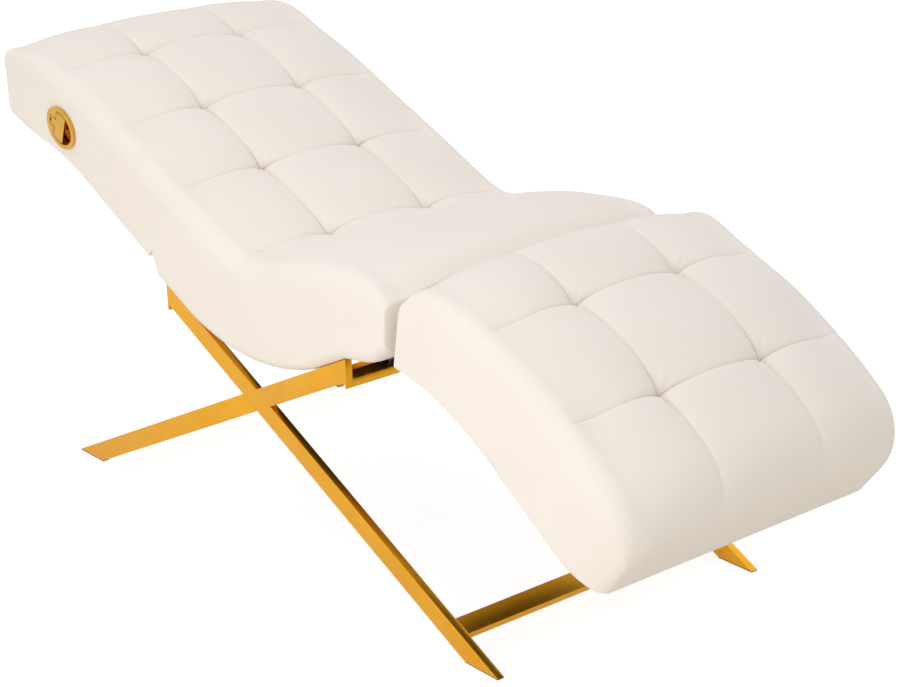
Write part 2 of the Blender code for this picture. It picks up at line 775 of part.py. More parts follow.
def build_crossbars():
    """Two bars near the floor, flush with the slope, and two flat bars under the seat."""
    reach = INNER_FACE - GAP
    top = FOOT - FLOOR_CROSSBAR_INSET
    run = TUBE_DEPTH * math.cos(TUBE_SLOPE)
    drop = TUBE_DEPTH * math.sin(TUBE_SLOPE)
    back = TUBE_THICKNESS * math.sin(TUBE_SLOPE)
    under = TUBE_THICKNESS * math.cos(TUBE_SLOPE)
    sloped = [
        (top, leg_top(top)),
        (top + run, leg_top(top) - drop),
        (top + run - back, leg_top(top) - drop - under),
        (top - back, leg_top(top) - under),
    ]
    level = [
        (CROSSBAR_FRONT, TOP_CROSSBAR_RISE + TUBE_THICKNESS),
        (CROSSBAR_FRONT, TOP_CROSSBAR_RISE),
        (CROSSBAR_REAR, TOP_CROSSBAR_RISE),
        (CROSSBAR_REAR, TOP_CROSSBAR_RISE + TUBE_THICKNESS),
    ]
    bars = {}
    for end, turn in (("foot_end", list), ("head_end", mirrored)):
        for name, outline in (("floor_crossbar", sloped), ("top_crossbar", level)):
            solid = shifted(turn(outline))
            bar = prism(f"{end}_{name}", solid, -reach, reach, "gold_paint")
            hollow = inset_box(solid, TUBE_WALL)
            past = reach + OVERRUN
            core = prism(f"{end}_{name}_bore", hollow, -past, past, "gold_paint")
            cut(bar, as_cutter(core))
            bars[f"{end}_{name}"] = bar
    return bars


def build_glides():
    outline = [
        (HEEL + GLIDE_MARGIN, 0),
        (FOOT - GLIDE_MARGIN, 0),
        (FOOT - GLIDE_MARGIN, GLIDE_HEIGHT - GAP),
        (HEEL + GLIDE_MARGIN, GLIDE_HEIGHT - GAP),
    ]
    for end, turn in (("foot_end", list), ("head_end", mirrored)):
        for side, sign in SIDES:
            faces = between(sign, INNER_FACE + GLIDE_MARGIN, FRAME_HALF_WIDTH - GLIDE_MARGIN)
            prism(f"{side}_{end}_glide", shifted(turn(outline)), *faces, "black_rubber")


BRACKET_CENTRE = SEAT_RAIL[0] - BRACKET_SETBACK - BRACKET_WIDTH / 2
BRACKET_FOOT = TOP_CROSSBAR_RISE + TUBE_THICKNESS + GAP
SEAT_BOARD_LOW = FRAME_HEIGHT + SEAT_BOARD_RISE
SEAT_BOARD_TOP = SEAT_BOARD_LOW + RAIL_THICKNESS
SEAT_BOARD_REAR = SEAT_LOW_X + SEAT_REAR_WALL
SEAT_BOARD_FRONT = SEAT_FRONT_X - SEAT_FRONT_WALL
SEAT_RAIL_LOW = SEAT_BOARD_LOW - GAP - SEAT_RAIL_DROP
SEAT_RAIL_REAR = SEAT_BOARD_REAR + SEAT_RAIL_SETBACK
SEAT_RAIL_FRONT = FRAME_OFFSET + CROSSBAR_REAR - SEAT_RAIL_SPACE


def build_seat_brackets(bars):
    """Z brackets that stand on the top crossbars and carry the seat board, with their bolts."""
    top = SEAT_BOARD_LOW - GAP
    outer = CROSSBAR_FRONT - BRACKET_MARGIN
    web = CROSSBAR_REAR + BRACKET_THICKNESS
    outline = [
        (outer, BRACKET_FOOT),
        (outer, BRACKET_FOOT + BRACKET_THICKNESS),
        (web, BRACKET_FOOT + BRACKET_THICKNESS),
        (web, top),
        (CROSSBAR_REAR - BRACKET_WIDTH, top),
        (CROSSBAR_REAR - BRACKET_WIDTH, top - BRACKET_THICKNESS),
        (CROSSBAR_REAR, top - BRACKET_THICKNESS),
        (CROSSBAR_REAR, BRACKET_FOOT),
    ]
    seat = BRACKET_FOOT + BRACKET_THICKNESS + GAP
    hole = BOLT_RADIUS + GAP
    for end, turn in (("foot_end", 1), ("head_end", -1)):
        for side, sign in SIDES:
            low = sign * BRACKET_CENTRE - BRACKET_WIDTH / 2
            placed = shifted(outline if turn > 0 else mirrored(outline))
            name = f"{side}_{end}_seat_bracket"
            bracket = prism(name, placed, low, low + BRACKET_WIDTH, "black_steel")
            x = FRAME_OFFSET + turn * (outer + web) / 2
            y = sign * BRACKET_CENTRE
            profile = [
                (0, -BOLT_REACH),
                (BOLT_RADIUS, -BOLT_REACH),
                (BOLT_RADIUS, 0),
                (BOLT_HEAD_RADIUS, 0),
                (BOLT_HEAD_RADIUS, BOLT_HEAD_HEIGHT),
                (0, BOLT_HEAD_HEIGHT),
            ]
            turned(f"{name}_bolt", (x, y, seat), (0, 0, 1), profile, "zinc_steel")
            drill = rod(
                f"{name}_hole", (x, y, seat - BOLT_REACH - OVERRUN / 2), (x, y, seat),
                hole, "zinc_steel",
            )
            as_cutter(drill)
            cut(bracket, drill)
            cut(bars[f"{end}_top_crossbar"], drill)


def build_seat_frame():
    half = SEAT_PLATE[0] - GAP
    board = [
        (SEAT_BOARD_REAR, SEAT_BOARD_LOW),
        (SEAT_BOARD_FRONT, SEAT_BOARD_LOW),
        (SEAT_BOARD_FRONT, SEAT_BOARD_TOP),
        (SEAT_BOARD_REAR, SEAT_BOARD_TOP),
    ]
    prism("seat_board", board, -half, half, "plywood")
    rail = [
        (SEAT_RAIL_REAR, SEAT_RAIL_LOW),
        (SEAT_RAIL_FRONT, SEAT_RAIL_LOW),
        (SEAT_RAIL_FRONT, SEAT_BOARD_LOW - GAP),
        (SEAT_RAIL_REAR, SEAT_BOARD_LOW - GAP),
    ]
    for side, sign in SIDES:
        prism(f"seat_{side}_rail", rail, *between(sign, *SEAT_RAIL), "pine")


def build_seat_cover():
    """A black cloth under the belly, between the side cheeks and the crossbars."""
    reach = CROSSBAR_REAR - COVER_MARGIN
    half = WELL_HALF_WIDTH - GAP
    xs = [FRAME_OFFSET + reach * share for share in COVER_SHARES]
    under = [(x, seat_bottom(x) + COVER_THICKNESS) for x in xs]
    over = [(x, z + COVER_THICKNESS) for x, z in reversed(under)]
    prism("seat_dust_cover", under + over, -half, half, "black_cloth")


def hollow_out(name, outline, low, high, *targets):
    cutter = as_cutter(prism(name, outline, low, high, "black_cloth"))
    for target in targets:
        cut(target, cutter)


def build_seat_cushion():
    """Its first row is quilted, its front is plain, and its rear face is the fold."""
    stations = spread(FOLD_X + GAP, SEAT_SEAM, ROW_STEP_SHARES)
    stations += spread(SEAT_SEAM, SEAT_FRONT_X, SEAT_STEP_SHARES)
    first, last = stations[0], stations[-1]
    unders = [
        SEAT_LOW_X + (SEAT_FRONT_LOW_X - SEAT_LOW_X) * (x - first) / (last - first)
        for x in stations
    ]
    for tube_end in (FRAME_OFFSET - FRAME_TOP_REACH, FRAME_OFFSET + FRAME_TOP_REACH):
        nearest = min(range(1, len(unders) - 1), key=lambda i: abs(unders[i] - tube_end))
        unders[nearest] = tube_end
    slices = [((low, seat_bottom(low)), (x, seat_top(x))) for low, x in zip(unders, stations)]
    slices[0] = (slices[0][0], (FOLD_X + GAP, FOLD_Z))

    def quilt(x):
        if x < SEAT_SEAM:
            return puff((x - FOLD_X) / (SEAT_SEAM - FOLD_X))
        return open_puff((x - SEAT_SEAM) / SEAT_SEAM_FADE)

    def depth(x):
        calm = max(0.0, min(1.0, (x - SEAT_SEAM) / SEAT_SEAM_FADE))

        def at(y):
            sewn = quilting(quilt(x), (), x, y)
            tufts = quilting(quilt(x), (SEAT_SEAM,), x, y) - sewn
            return sewn * (1 - calm) + tufts

        return at

    rings = []
    for i, (low, high) in enumerate(slices):
        x = high[0]
        crown = CROWN * min(1.0, (x - FOLD_X) / CROWN_RUN)
        sewn = depth(x) if i else flat
        half = half_width((x - first) / (last - first))
        rings.append(ring(low, high, half, sewn, crown, BELLY_INSET))
    item = loft("seat_cushion", rings, fold_ceiling, "cream_velvet")
    deep = FRAME_HEIGHT - BELLY_DROP - OVERRUN
    well = [
        (SEAT_BOARD_REAR - GAP, deep),
        (SEAT_BOARD_FRONT + GAP, deep),
        (SEAT_BOARD_FRONT + GAP, SEAT_BOARD_TOP + GAP),
        (SEAT_BOARD_REAR - GAP, SEAT_BOARD_TOP + GAP),
    ]
    hollow_out("seat_well", well, -WELL_HALF_WIDTH, WELL_HALF_WIDTH, item)
    return item


def build_back_cushion():
    lines = [HEAD_TOP_X, *BACK_SEAMS, FOLD_X - GAP]
    stations = []
    for low, high in zip(lines, lines[1:]):
        stations += spread(low, high, ROW_STEP_SHARES)
    stations.append(lines[-1])
    first, last = stations[0], stations[-1]
    slices = []
    for x in stations:
        under = HEAD_BOTTOM_X + (BACK_LOW_X - HEAD_BOTTOM_X) * (x - first) / (last - first)
        slices.append(((under, back_bottom(under)), (x, back_top(x))))
    slices[-1] = (slices[-1][0], (FOLD_X - GAP, FOLD_Z))

    def quilt(x):
        return rows_puff(x, [*BACK_SEAMS, FOLD_X], HEAD_TOP_X, FOLD_X)

    rings = quilted_rings(
        slices, BACK_SEAMS, quilt, FOLD_X, ((HEAD_BULGE, HEAD_ROUNDS), None)
    )
    low, high = slices[-1]
    rings[-1] = ring(low, high, half_width(1), flat, 0)
    item = loft("back_cushion", rings, fold_ceiling, "cream_velvet")
    well = BACK_SLANT.box(BACK_WELL_START, BACK_WELL_END, -BACK_WELL_DEPTH, BACK_WELL_DEPTH)
    hollow_out("back_well", well, -WELL_HALF_WIDTH, WELL_HALF_WIDTH, item)
    return set_pivot(item, BACK_PIVOT)


def build_leg_cushion():
    lines = [LEG_TOP_SPAN[0], *LEG_SEAMS, LEG_TOP_SPAN[1]]
    stations = []
    for low, high in zip(lines, lines[1:]):
        stations += spread(low, high, ROW_STEP_SHARES)
    stations.append(lines[-1])
    first, last = stations[0], stations[-1]
    slices = []
    for x in stations:
        under = LEG_LOW_SPAN[0] + (LEG_LOW_SPAN[1] - LEG_LOW_SPAN[0]) * (x - first) / (last - first)
        slices.append(((under, leg_rest_bottom(under)), (x, leg_rest_top(x))))

    def quilt(x):
        return rows_puff(x, LEG_SEAMS, *LEG_TOP_SPAN)

    ends = ((LEG_REAR_BULGE, LEG_REAR_ROUNDS), (FOOT_BULGE, FOOT_ROUNDS))
    rings = quilted_rings(slices, LEG_SEAMS, quilt, None, ends)
    item = loft("leg_rest_cushion", rings, no_ceiling, "cream_velvet")
    well = LEG_SLANT.box(LEG_WELL_START, LEG_WELL_END, -LEG_WELL_DEPTH, LEG_WELL_DEPTH)
    hollow_out("leg_rest_well", well, -WELL_HALF_WIDTH, WELL_HALF_WIDTH, item)
    return set_pivot(item, LEG_PIVOT)


def build_section_frame(section, slant, span, depth, crosses, cover_start, pivot):
    """Board, side rails, cross rails and dust cover in the well under a moving section."""
    low_u, high_u = span[0] + GAP, span[1] - GAP
    ceiling = depth - GAP
    under = ceiling - SECTION_RAIL_DROP
    rails = {}
    for side, sign in SIDES:
        outline = slant.box(low_u, high_u, under, ceiling)
        item = prism(f"{section}_{side}_rail", outline, *between(sign, *SECTION_RAIL), "pine")
        rails[side] = set_pivot(item, pivot)
    half = SECTION_RAIL[0] - CABLE_CHANNEL
    outline = slant.box(low_u, high_u, ceiling - BOARD_THICKNESS, ceiling)
    set_pivot(prism(f"{section}_board", outline, -half, half, "plywood"), pivot)
    board_low = ceiling - BOARD_THICKNESS - GAP
    reach = SECTION_RAIL[0] - GAP
    for name, u in crosses:
        outline = slant.box(u, u + CROSS_RAIL_LENGTH, under, board_low)
        item = prism(f"{section}_{name}_cross_rail", outline, -reach, reach, "pine")
        set_pivot(item, pivot)
    cover = under - GAP
    outline = slant.box(cover_start + GAP, high_u, cover - COVER_THICKNESS, cover)
    half = WELL_HALF_WIDTH - GAP
    set_pivot(prism(f"{section}_dust_cover", outline, -half, half, "black_cloth"), pivot)
    return rails


def arm_outline(slant, hinge, rail_u, rail_w):
    """A strap from the round eye on the axis to a straight part that lies on the rail."""
    away = math.atan2(rail_w - hinge[1], rail_u - hinge[0])
    eye = arc(hinge, EYE_RADIUS, away + math.pi / 2, away + 3 * math.pi / 2, ROUND_SIDES // 2)
    half = ARM_WIDTH / 2
    strap = [
        (rail_u, rail_w - half),
        (rail_u + ARM_LAP, rail_w - half),
        (rail_u + ARM_LAP, rail_w + half),
        (rail_u, rail_w + half),
    ]
    return [slant.point(u, w) for u, w in eye + strap]


def drill_pivot(name, pivot, sign, inner, outer, *targets):
    low, high = between(sign, inner - OVERRUN / 2, outer + OVERRUN / 2)
    hole = rod(
        name, (pivot[0], low, pivot[2]), (pivot[0], high, pivot[2]),
        PIVOT_RADIUS + PIVOT_CLEARANCE, "zinc_steel",
    )
    as_cutter(hole)
    for target in targets:
        cut(target, hole)


def build_pivot(name, pivot, sign, inner):
    """A pin through the seat plate and the arm, with a head at each end."""
    centre = (pivot[0], sign * inner, pivot[2])
    length = ARM_PLATE[1] + GAP - inner
    profile = [
        (0, -PIVOT_HEAD_HEIGHT),
        (PIVOT_HEAD_RADIUS, -PIVOT_HEAD_HEIGHT),
        (PIVOT_HEAD_RADIUS, 0),
        (PIVOT_RADIUS, 0),
        (PIVOT_RADIUS, length),
        (PIVOT_HEAD_RADIUS, length),
        (PIVOT_HEAD_RADIUS, length + PIVOT_HEAD_HEIGHT),
        (0, length + PIVOT_HEAD_HEIGHT),
    ]
    turned(name, centre, (0, sign, 0), profile, "zinc_steel")


SLOT_OUTER = ARM_PLATE[1] + GAP + PIVOT_HEAD_HEIGHT + SLOT_MARGIN
EYE_CLEAR = EYE_RADIUS + EYE_SPACE
PLAIN_PIN_INNER = SEAT_PLATE[0] - GAP
LOCK = between(1, SEAT_PLATE[0] - GAP - LOCK_THICKNESS, SEAT_PLATE[0] - GAP)
CAM = between(1, LOCK[0] - GAP - CAM_THICKNESS, LOCK[0] - GAP)
LOCK_PIN_INNER = CAM[0] - GAP


def build_back_hinge(seat_cushion, back_cushion):
    """Seat plates and moving arms on the axis of the fold, with a disc lock on the right."""
    x, z = FOLD_X, FOLD_Z
    rail_u = BACK_WELL_START + ARM_START
    rail_w = BACK_WELL_DEPTH - SECTION_RAIL_DROP / 2
    arm = arm_outline(BACK_SLANT, BACK_HINGE, rail_u, rail_w)
    rear = SEAT_RAIL_REAR
    front = rear + SEAT_PLATE_LAP
    eye = arc((x, z), EYE_RADIUS, 0, math.pi, ROUND_SIDES // 2)
    plate = [(rear, SEAT_RAIL_LOW), (front, SEAT_RAIL_LOW), (front, SEAT_BOARD_LOW)]
    plate += eye + [(SEAT_BOARD_REAR + SLOT_MARGIN, SEAT_BOARD_LOW)]
    notch = [
        (SEAT_BOARD_REAR, SEAT_BOARD_LOW),
        (front + EYE_SPACE, SEAT_BOARD_LOW),
        (x + EYE_CLEAR, z + EYE_CLEAR),
        (x - EYE_CLEAR, z + EYE_CLEAR),
    ]
    u, w = BACK_HINGE
    groove = BACK_SLANT.box(
        u - EYE_CLEAR, rail_u, BACK_WELL_DEPTH - SECTION_RAIL_DROP, w + EYE_CLEAR
    )
    for side, sign in SIDES:
        inner = LOCK_PIN_INNER if side == "right" else PLAIN_PIN_INNER
        seat_plate = prism(
            f"{side}_back_hinge_plate", plate, *between(sign, *SEAT_PLATE), "black_steel"
        )
        moving = prism(f"{side}_back_hinge_arm", arm, *between(sign, *ARM_PLATE), "black_steel")
        set_pivot(moving, BACK_PIVOT)
        drill_pivot(
            f"{side}_back_pivot_hole", BACK_PIVOT, sign, SEAT_PLATE[0], ARM_PLATE[1],
            seat_plate, moving,
        )
        build_pivot(f"{side}_back_pivot", BACK_PIVOT, sign, inner)
        slot = between(sign, inner - PIVOT_HEAD_HEIGHT - SLOT_MARGIN, SLOT_OUTER)
        hollow_out(f"{side}_seat_hinge_slot", notch, *slot, seat_cushion)
        hollow_out(f"{side}_back_hinge_slot", groove, *slot, back_cushion)
    bore = PIVOT_RADIUS + PIVOT_CLEARANCE
    turned(
        "recliner_lock", (x, -LOCK[0], z), (0, -1, 0),
        [
            (bore, 0), (LOCK_RADIUS, 0), (LOCK_RADIUS, LOCK_THICKNESS), (bore, LOCK_THICKNESS),
        ],
        "black_steel",
    )
    tip = (u, w - CAM_ARM)
    lever = arc((u, w), CAM_RADIUS, 0, math.pi, ROUND_SIDES // 2)
    lever += arc(tip, CAM_TIP_RADIUS, math.pi, 2 * math.pi, ROUND_SIDES // 2)
    cam = prism(
        "recliner_cam_lever", [BACK_SLANT.point(*point) for point in lever],
        *between(-1, *CAM), "zinc_steel",
    )
    drill_pivot("cam_pivot_hole", BACK_PIVOT, -1, CAM[0], CAM[0] + GAP, cam)
    set_pivot(cam, BACK_PIVOT)


def build_leg_hinge(seat_cushion, leg_cushion):
    """Plates that run forward from the seat rails and arms on the rails of the leg rest."""
    x, z = LEG_HINGE_X, LEG_HINGE_Z
    rail_u = LEG_WELL_START + ARM_START
    rail_w = LEG_WELL_DEPTH - SECTION_RAIL_DROP / 2
    arm = arm_outline(LEG_SLANT, LEG_HINGE, rail_u, rail_w)
    front = SEAT_RAIL_FRONT
    rear = front - SEAT_PLATE_LAP
    top = SEAT_BOARD_TOP - GAP
    plate = [(rear, SEAT_RAIL_LOW), (front, SEAT_RAIL_LOW)]
    plate += arc((x, z), EYE_RADIUS, -math.pi / 2, math.pi / 2, ROUND_SIDES // 2)
    plate += [(SEAT_BOARD_FRONT, top), (rear, top)]
    notch = [
        (SEAT_BOARD_FRONT, SEAT_RAIL_LOW),
        (x + EYE_CLEAR, SEAT_RAIL_LOW),
        (x + EYE_CLEAR, z + EYE_CLEAR),
        (SEAT_BOARD_FRONT, z + EYE_CLEAR),
    ]
    u, w = LEG_HINGE
    groove = LEG_SLANT.box(u - EYE_CLEAR, LEG_WELL_START + OVERRUN, w - 2 * EYE_CLEAR, rail_w)
    for side, sign in SIDES:
        seat_plate = prism(
            f"{side}_leg_rest_hinge_plate", plate, *between(sign, *SEAT_PLATE), "black_steel"
        )
        moving = prism(
            f"{side}_leg_rest_hinge_arm", arm, *between(sign, *ARM_PLATE), "black_steel"
        )
        set_pivot(moving, LEG_PIVOT)
        drill_pivot(
            f"{side}_leg_pivot_hole", LEG_PIVOT, sign, SEAT_PLATE[0], ARM_PLATE[1],
            seat_plate, moving,
        )
        build_pivot(f"{side}_leg_rest_pivot", LEG_PIVOT, sign, PLAIN_PIN_INNER)
        slot = between(sign, PLAIN_PIN_INNER - PIVOT_HEAD_HEIGHT - SLOT_MARGIN, SLOT_OUTER)
        hollow_out(f"{side}_seat_front_slot", notch, *slot, seat_cushion)
        hollow_out(f"{side}_leg_hinge_slot", groove, *slot, leg_cushion)


CUP_BACK = COUCH_HALF_WIDTH - CUP_SETBACK
CUP_FRONT = CUP_BACK + CUP_FLANGE
CUP_FLOOR = CUP_BACK - CUP_DEPTH + CUP_WALL
LEVER_PLANE = CUP_FRONT - LEVER_THICKNESS / 2


def oval(length, height, start, end):
    angles = [start + (end - start) * step / OVAL_STEPS for step in range(OVAL_STEPS + 1)]
    return [(length * math.cos(angle), height * math.sin(angle)) for angle in angles]


def cup_points(points):
    """Points around the middle of the cup, with u towards the head end, in side view."""
    return [BACK_SLANT.point(CUP_ALONG + u, CUP_UP + w) for u, w in points]


def opening(inset):
    """The mouth of the cup: a narrow neck at the head end that widens to an oval."""
    length = CUP_LENGTH / 2 - CUP_RIM - inset
    height = CUP_HEIGHT / 2 - CUP_RIM - inset
    start = math.acos((NECK_ROOT - inset) / length)
    neck = NECK_HEIGHT / 2 - inset
    points = [(NECK_END - inset, -neck), (NECK_END - inset, neck), (NECK_ROOT - inset, neck)]
    return points + oval(length, height, start, 2 * math.pi - start) + [(NECK_ROOT - inset, -neck)]


def lever_outline():
    """The same shape with an even clearance, cut short to leave room for the fingers."""
    points = opening(LEVER_CLEARANCE)
    return [(max(u, -PADDLE_END), w) for u, w in points]


def build_handle(back_cushion, rail):
    """Cup, paddle lever, pin and return spring in the right side of the backrest."""
    full = oval(CUP_LENGTH / 2, CUP_HEIGHT / 2, 0, 2 * math.pi)[:-1]
    cup = prism(
        "release_handle_cup", cup_points(full), -CUP_FRONT, -CUP_BACK, "gold_plate"
    )
    sleeve = prism(
        "cup_sleeve", cup_points(opening(-CUP_WALL)), -CUP_BACK - CUP_WALL,
        -CUP_FLOOR + CUP_WALL, "gold_plate",
    )
    cut(cup, as_cutter(sleeve), "UNION")
    hollow_out(
        "cup_mouth", cup_points(opening(0)), -CUP_FRONT - OVERRUN, -CUP_FLOOR, cup
    )
    bed = CUP_RIM - CUP_WALL - SLOT_MARGIN
    hole = oval(CUP_LENGTH / 2 - bed, CUP_HEIGHT / 2 - bed, 0, 2 * math.pi)[:-1]
    hollow_out(
        "cup_bed", cup_points(hole), -CUP_FRONT - OVERRUN,
        -CUP_FLOOR + CUP_WALL + SLOT_MARGIN, back_cushion,
    )
    outline = cup_points(tidy(lever_outline()))
    lever = prism(
        "release_lever", outline, -CUP_FRONT, -CUP_FRONT + LEVER_THICKNESS, "gold_plate"
    )
    pivot_u = CUP_ALONG + NECK_END - LEVER_CLEARANCE - LEVER_PIVOT_SETBACK
    centre = BACK_SLANT.solid_point(pivot_u, CUP_UP, -LEVER_PLANE)
    up = Vector((BACK_SLANT.w[0], 0, BACK_SLANT.w[1]))
    half = NECK_HEIGHT / 2 + PIN_SEAT
    rod("release_lever_pin", centre - up * half, centre + up * half, PIN_RADIUS, "zinc_steel")
    reach = half + GAP
    drill = rod(
        "lever_pin_hole", centre - up * reach, centre + up * reach,
        PIN_RADIUS + PIN_HOLE_CLEARANCE, "zinc_steel",
    )
    as_cutter(drill)
    cut(cup, drill)
    cut(lever, drill)
    gap_outline = BACK_SLANT.box(
        pivot_u - LEVER_PIVOT_SETBACK, pivot_u + OVERRUN,
        CUP_UP - COIL_SPACE / 2, CUP_UP + COIL_SPACE / 2,
    )
    hollow_out("coil_notch", gap_outline, -CUP_FRONT - OVERRUN, -CUP_BACK + OVERRUN, lever)
    out = Vector((BACK_SLANT.u[0], 0, BACK_SLANT.u[1]))
    side = Vector((0, 1, 0))
    coil = []
    for step in range(COIL_TURNS * COIL_STEPS + 1):
        turns = step / COIL_STEPS
        angle = 2 * math.pi * turns
        rise = (turns - COIL_TURNS / 2) * COIL_PITCH
        away = out * math.cos(angle) + side * math.sin(angle)
        coil.append(centre + away * COIL_RADIUS + up * rise)
    swept("release_lever_spring", coil, COIL_WIRE_RADIUS, "zinc_steel", BOLT_SIDES)
    set_pivot(lever, centre)
    build_cable(back_cushion, rail)


def tidy(points):
    """Drops points that repeat the one before or lie between two others on the same edge."""
    kept = []
    for i, point in enumerate(points):
        before, after = points[i - 1], points[(i + 1) % len(points)]
        same = before[0] == point[0] == after[0]
        if not same:
            kept.append(point)
    return kept


def build_cable(back_cushion, rail):
    """The cable runs from the cup through the side, along the rail and up to the cam lever."""
    u = CUP_ALONG + CABLE_ENTRY
    lane = SECTION_RAIL[0] - CABLE_INSET
    cam = (CAM[0] + CAM[1]) / 2
    start = -CUP_FLOOR + CUP_WALL + GAP
    hinge_u, hinge_w = BACK_HINGE
    corners = [
        BACK_SLANT.solid_point(u, CABLE_DEPTH, start),
        BACK_SLANT.solid_point(u, CABLE_DEPTH, -lane),
        BACK_SLANT.solid_point(CABLE_CLIMB, CABLE_DEPTH, -lane),
        BACK_SLANT.solid_point(hinge_u + CABLE_FREE, hinge_w - CAM_ARM, -cam),
    ]
    path = rounded_path(corners, (CABLE_BEND, CABLE_SWEEP / 2))
    cable = swept("release_cable", path, CABLE_RADIUS, "black_rubber")
    set_pivot(cable, BACK_PIVOT)
    drill = rod(
        "cable_hole", BACK_SLANT.solid_point(u, CABLE_DEPTH, start - OVERRUN),
        BACK_SLANT.solid_point(u, CABLE_DEPTH, -SECTION_RAIL[0] + OVERRUN / 2),
        CABLE_RADIUS + CABLE_HOLE_CLEARANCE, "zinc_steel",
    )
    as_cutter(drill)
    cut(back_cushion, drill)
    cut(rail, drill)


def main():
    clear_scene()
    build_legs()
    bars = build_crossbars()
    build_glides()
    build_seat_brackets(bars)
    build_seat_frame()
    build_seat_cover()
    seat_cushion = build_seat_cushion()
    back_cushion = build_back_cushion()
    leg_cushion = build_leg_cushion()
    back_rails = build_section_frame(
        "back", BACK_SLANT, (BACK_WELL_START, BACK_WELL_END), BACK_WELL_DEPTH,
        (
            ("seat_end", BACK_WELL_START + ARM_START + ARM_LAP + OVERRUN),
            ("head_end", BACK_WELL_END - CROSS_RAIL_LENGTH - OVERRUN),
        ),
        BACK_WELL_START,
        BACK_PIVOT,
    )
    build_section_frame(
        "leg_rest", LEG_SLANT, (LEG_WELL_START, LEG_WELL_END), LEG_WELL_DEPTH,
        (("foot_end", LEG_WELL_END - CROSS_RAIL_LENGTH - OVERRUN),),
        LEG_WELL_START + ARM_START + EYE_SPACE,
        LEG_PIVOT,
    )
    build_back_hinge(seat_cushion, back_cushion)
    build_leg_hinge(seat_cushion, leg_cushion)
    build_handle(back_cushion, back_rails["right"])


main()
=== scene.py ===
"""Looks of the eyelash extension bed: tufted velvet couch on a crossed gold tube frame.

Lengths are in metres unless a name ends in _MM. X runs from the head end to the foot end.
"""

import json
import math

import bmesh
import bpy
import numpy as np
from mathutils import Matrix, Vector


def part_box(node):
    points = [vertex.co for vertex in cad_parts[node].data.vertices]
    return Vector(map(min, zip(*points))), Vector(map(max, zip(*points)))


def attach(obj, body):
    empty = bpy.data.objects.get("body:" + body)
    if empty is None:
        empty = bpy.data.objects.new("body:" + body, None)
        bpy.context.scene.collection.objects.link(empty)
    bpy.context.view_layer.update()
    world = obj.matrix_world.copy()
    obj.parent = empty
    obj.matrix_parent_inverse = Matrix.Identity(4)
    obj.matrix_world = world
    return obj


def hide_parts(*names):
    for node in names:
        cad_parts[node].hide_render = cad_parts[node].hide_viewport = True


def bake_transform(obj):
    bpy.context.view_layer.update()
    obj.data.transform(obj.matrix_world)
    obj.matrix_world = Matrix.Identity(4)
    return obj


MM = 0.001

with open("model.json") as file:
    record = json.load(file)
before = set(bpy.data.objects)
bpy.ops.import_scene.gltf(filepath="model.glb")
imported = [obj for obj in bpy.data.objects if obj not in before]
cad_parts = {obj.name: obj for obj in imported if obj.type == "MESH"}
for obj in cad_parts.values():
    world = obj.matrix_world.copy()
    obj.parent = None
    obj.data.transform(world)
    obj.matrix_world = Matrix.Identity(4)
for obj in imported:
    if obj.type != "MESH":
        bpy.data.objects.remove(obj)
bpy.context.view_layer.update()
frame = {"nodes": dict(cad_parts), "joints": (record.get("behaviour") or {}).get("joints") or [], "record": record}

# Driving places, measured on the frame
LEG_LOW, LEG_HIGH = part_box("right_foot_end_leg")
CROSSING_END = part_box("right_head_end_leg_upper")[1]
FRAME_X = (LEG_LOW.x + CROSSING_END.x) / 2
FRAME_HEIGHT = LEG_HIGH.z
TOP_REACH = CROSSING_END.x - FRAME_X
HALF_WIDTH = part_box("seat_cushion")[1].y
PIVOTS = {joint["name"]: Vector(joint["pos_m"]) for joint in frame["joints"]}
FOLD = PIVOTS["back_recline"]

# Sections of the couch, from the middle and the top of the frame
HEAD_REACH = 861 * MM
HEAD_RISE = 387 * MM
SEAT_REACH = 443 * MM
SEAT_RISE = 175 * MM
FOOT_REACH = 1058 * MM
LEG_REST_START = 463 * MM
LEG_REST_RISE = 191 * MM
LEG_REST_FALL = 408 * MM
BELLY_DROP = 86 * MM
TUBE_SLOPE = math.radians(25.77)
TUBE_SKIN = 0.6 * MM

# Outlines in side view, as shares of the lengths above: (along the bed, up). Those of the leg
# rest count from its start and down from its crest. Its plane is the one its rails lie along.
BACK_TOP_SHARES = (
    (-0.987, 0.99), (-0.935, 1.01), (-0.87, 1.009), (-0.80, 0.981), (-0.697, 0.915),
    (-0.569, 0.814), (-0.395, 0.646), (-0.279, 0.537), (-0.20, 0.463),
)
BACK_BOTTOM_SHARES = (
    (-0.981, 0.638), (-0.892, 0.566), (-0.799, 0.522), (-0.684, 0.432), (-0.580, 0.319),
    (-0.474, 0.212), (-0.389, 0.127),
)
SEAT_TOP_SHARES = (
    (-0.62, 1.27), (-0.542, 1.189), (-0.316, 0.949), (-0.19, 0.82), (-0.06, 0.708), (0.06, 0.70),
    (0.20, 0.782), (0.40, 0.912), (0.60, 0.992), (0.80, 1.015), (0.92, 0.965), (1.0, 0.83),
)
SEAT_REAR_SHARES = ((-0.704, 0.24), (-0.691, 0.105), (-0.655, 0.0))
SEAT_FRONT_SHARES = ((0.673, 0.0), (0.79, 0.045), (0.89, 0.12), (0.987, 0.29))
LEG_TOP_SHARES = (
    (0.045, 0.07), (0.10, 0.01), (0.165, -0.01), (0.25, 0.01), (0.41, 0.094), (0.575, 0.194),
    (0.736, 0.333), (0.85, 0.450), (0.908, 0.520),
)
LEG_BOTTOM_SHARES = (
    (0.005, 0.390), (0.095, 0.416), (0.262, 0.507), (0.499, 0.713), (0.692, 0.909),
)
LEG_PLANE_SHARES = ((0.005, 0.390), (0.795, 0.970))

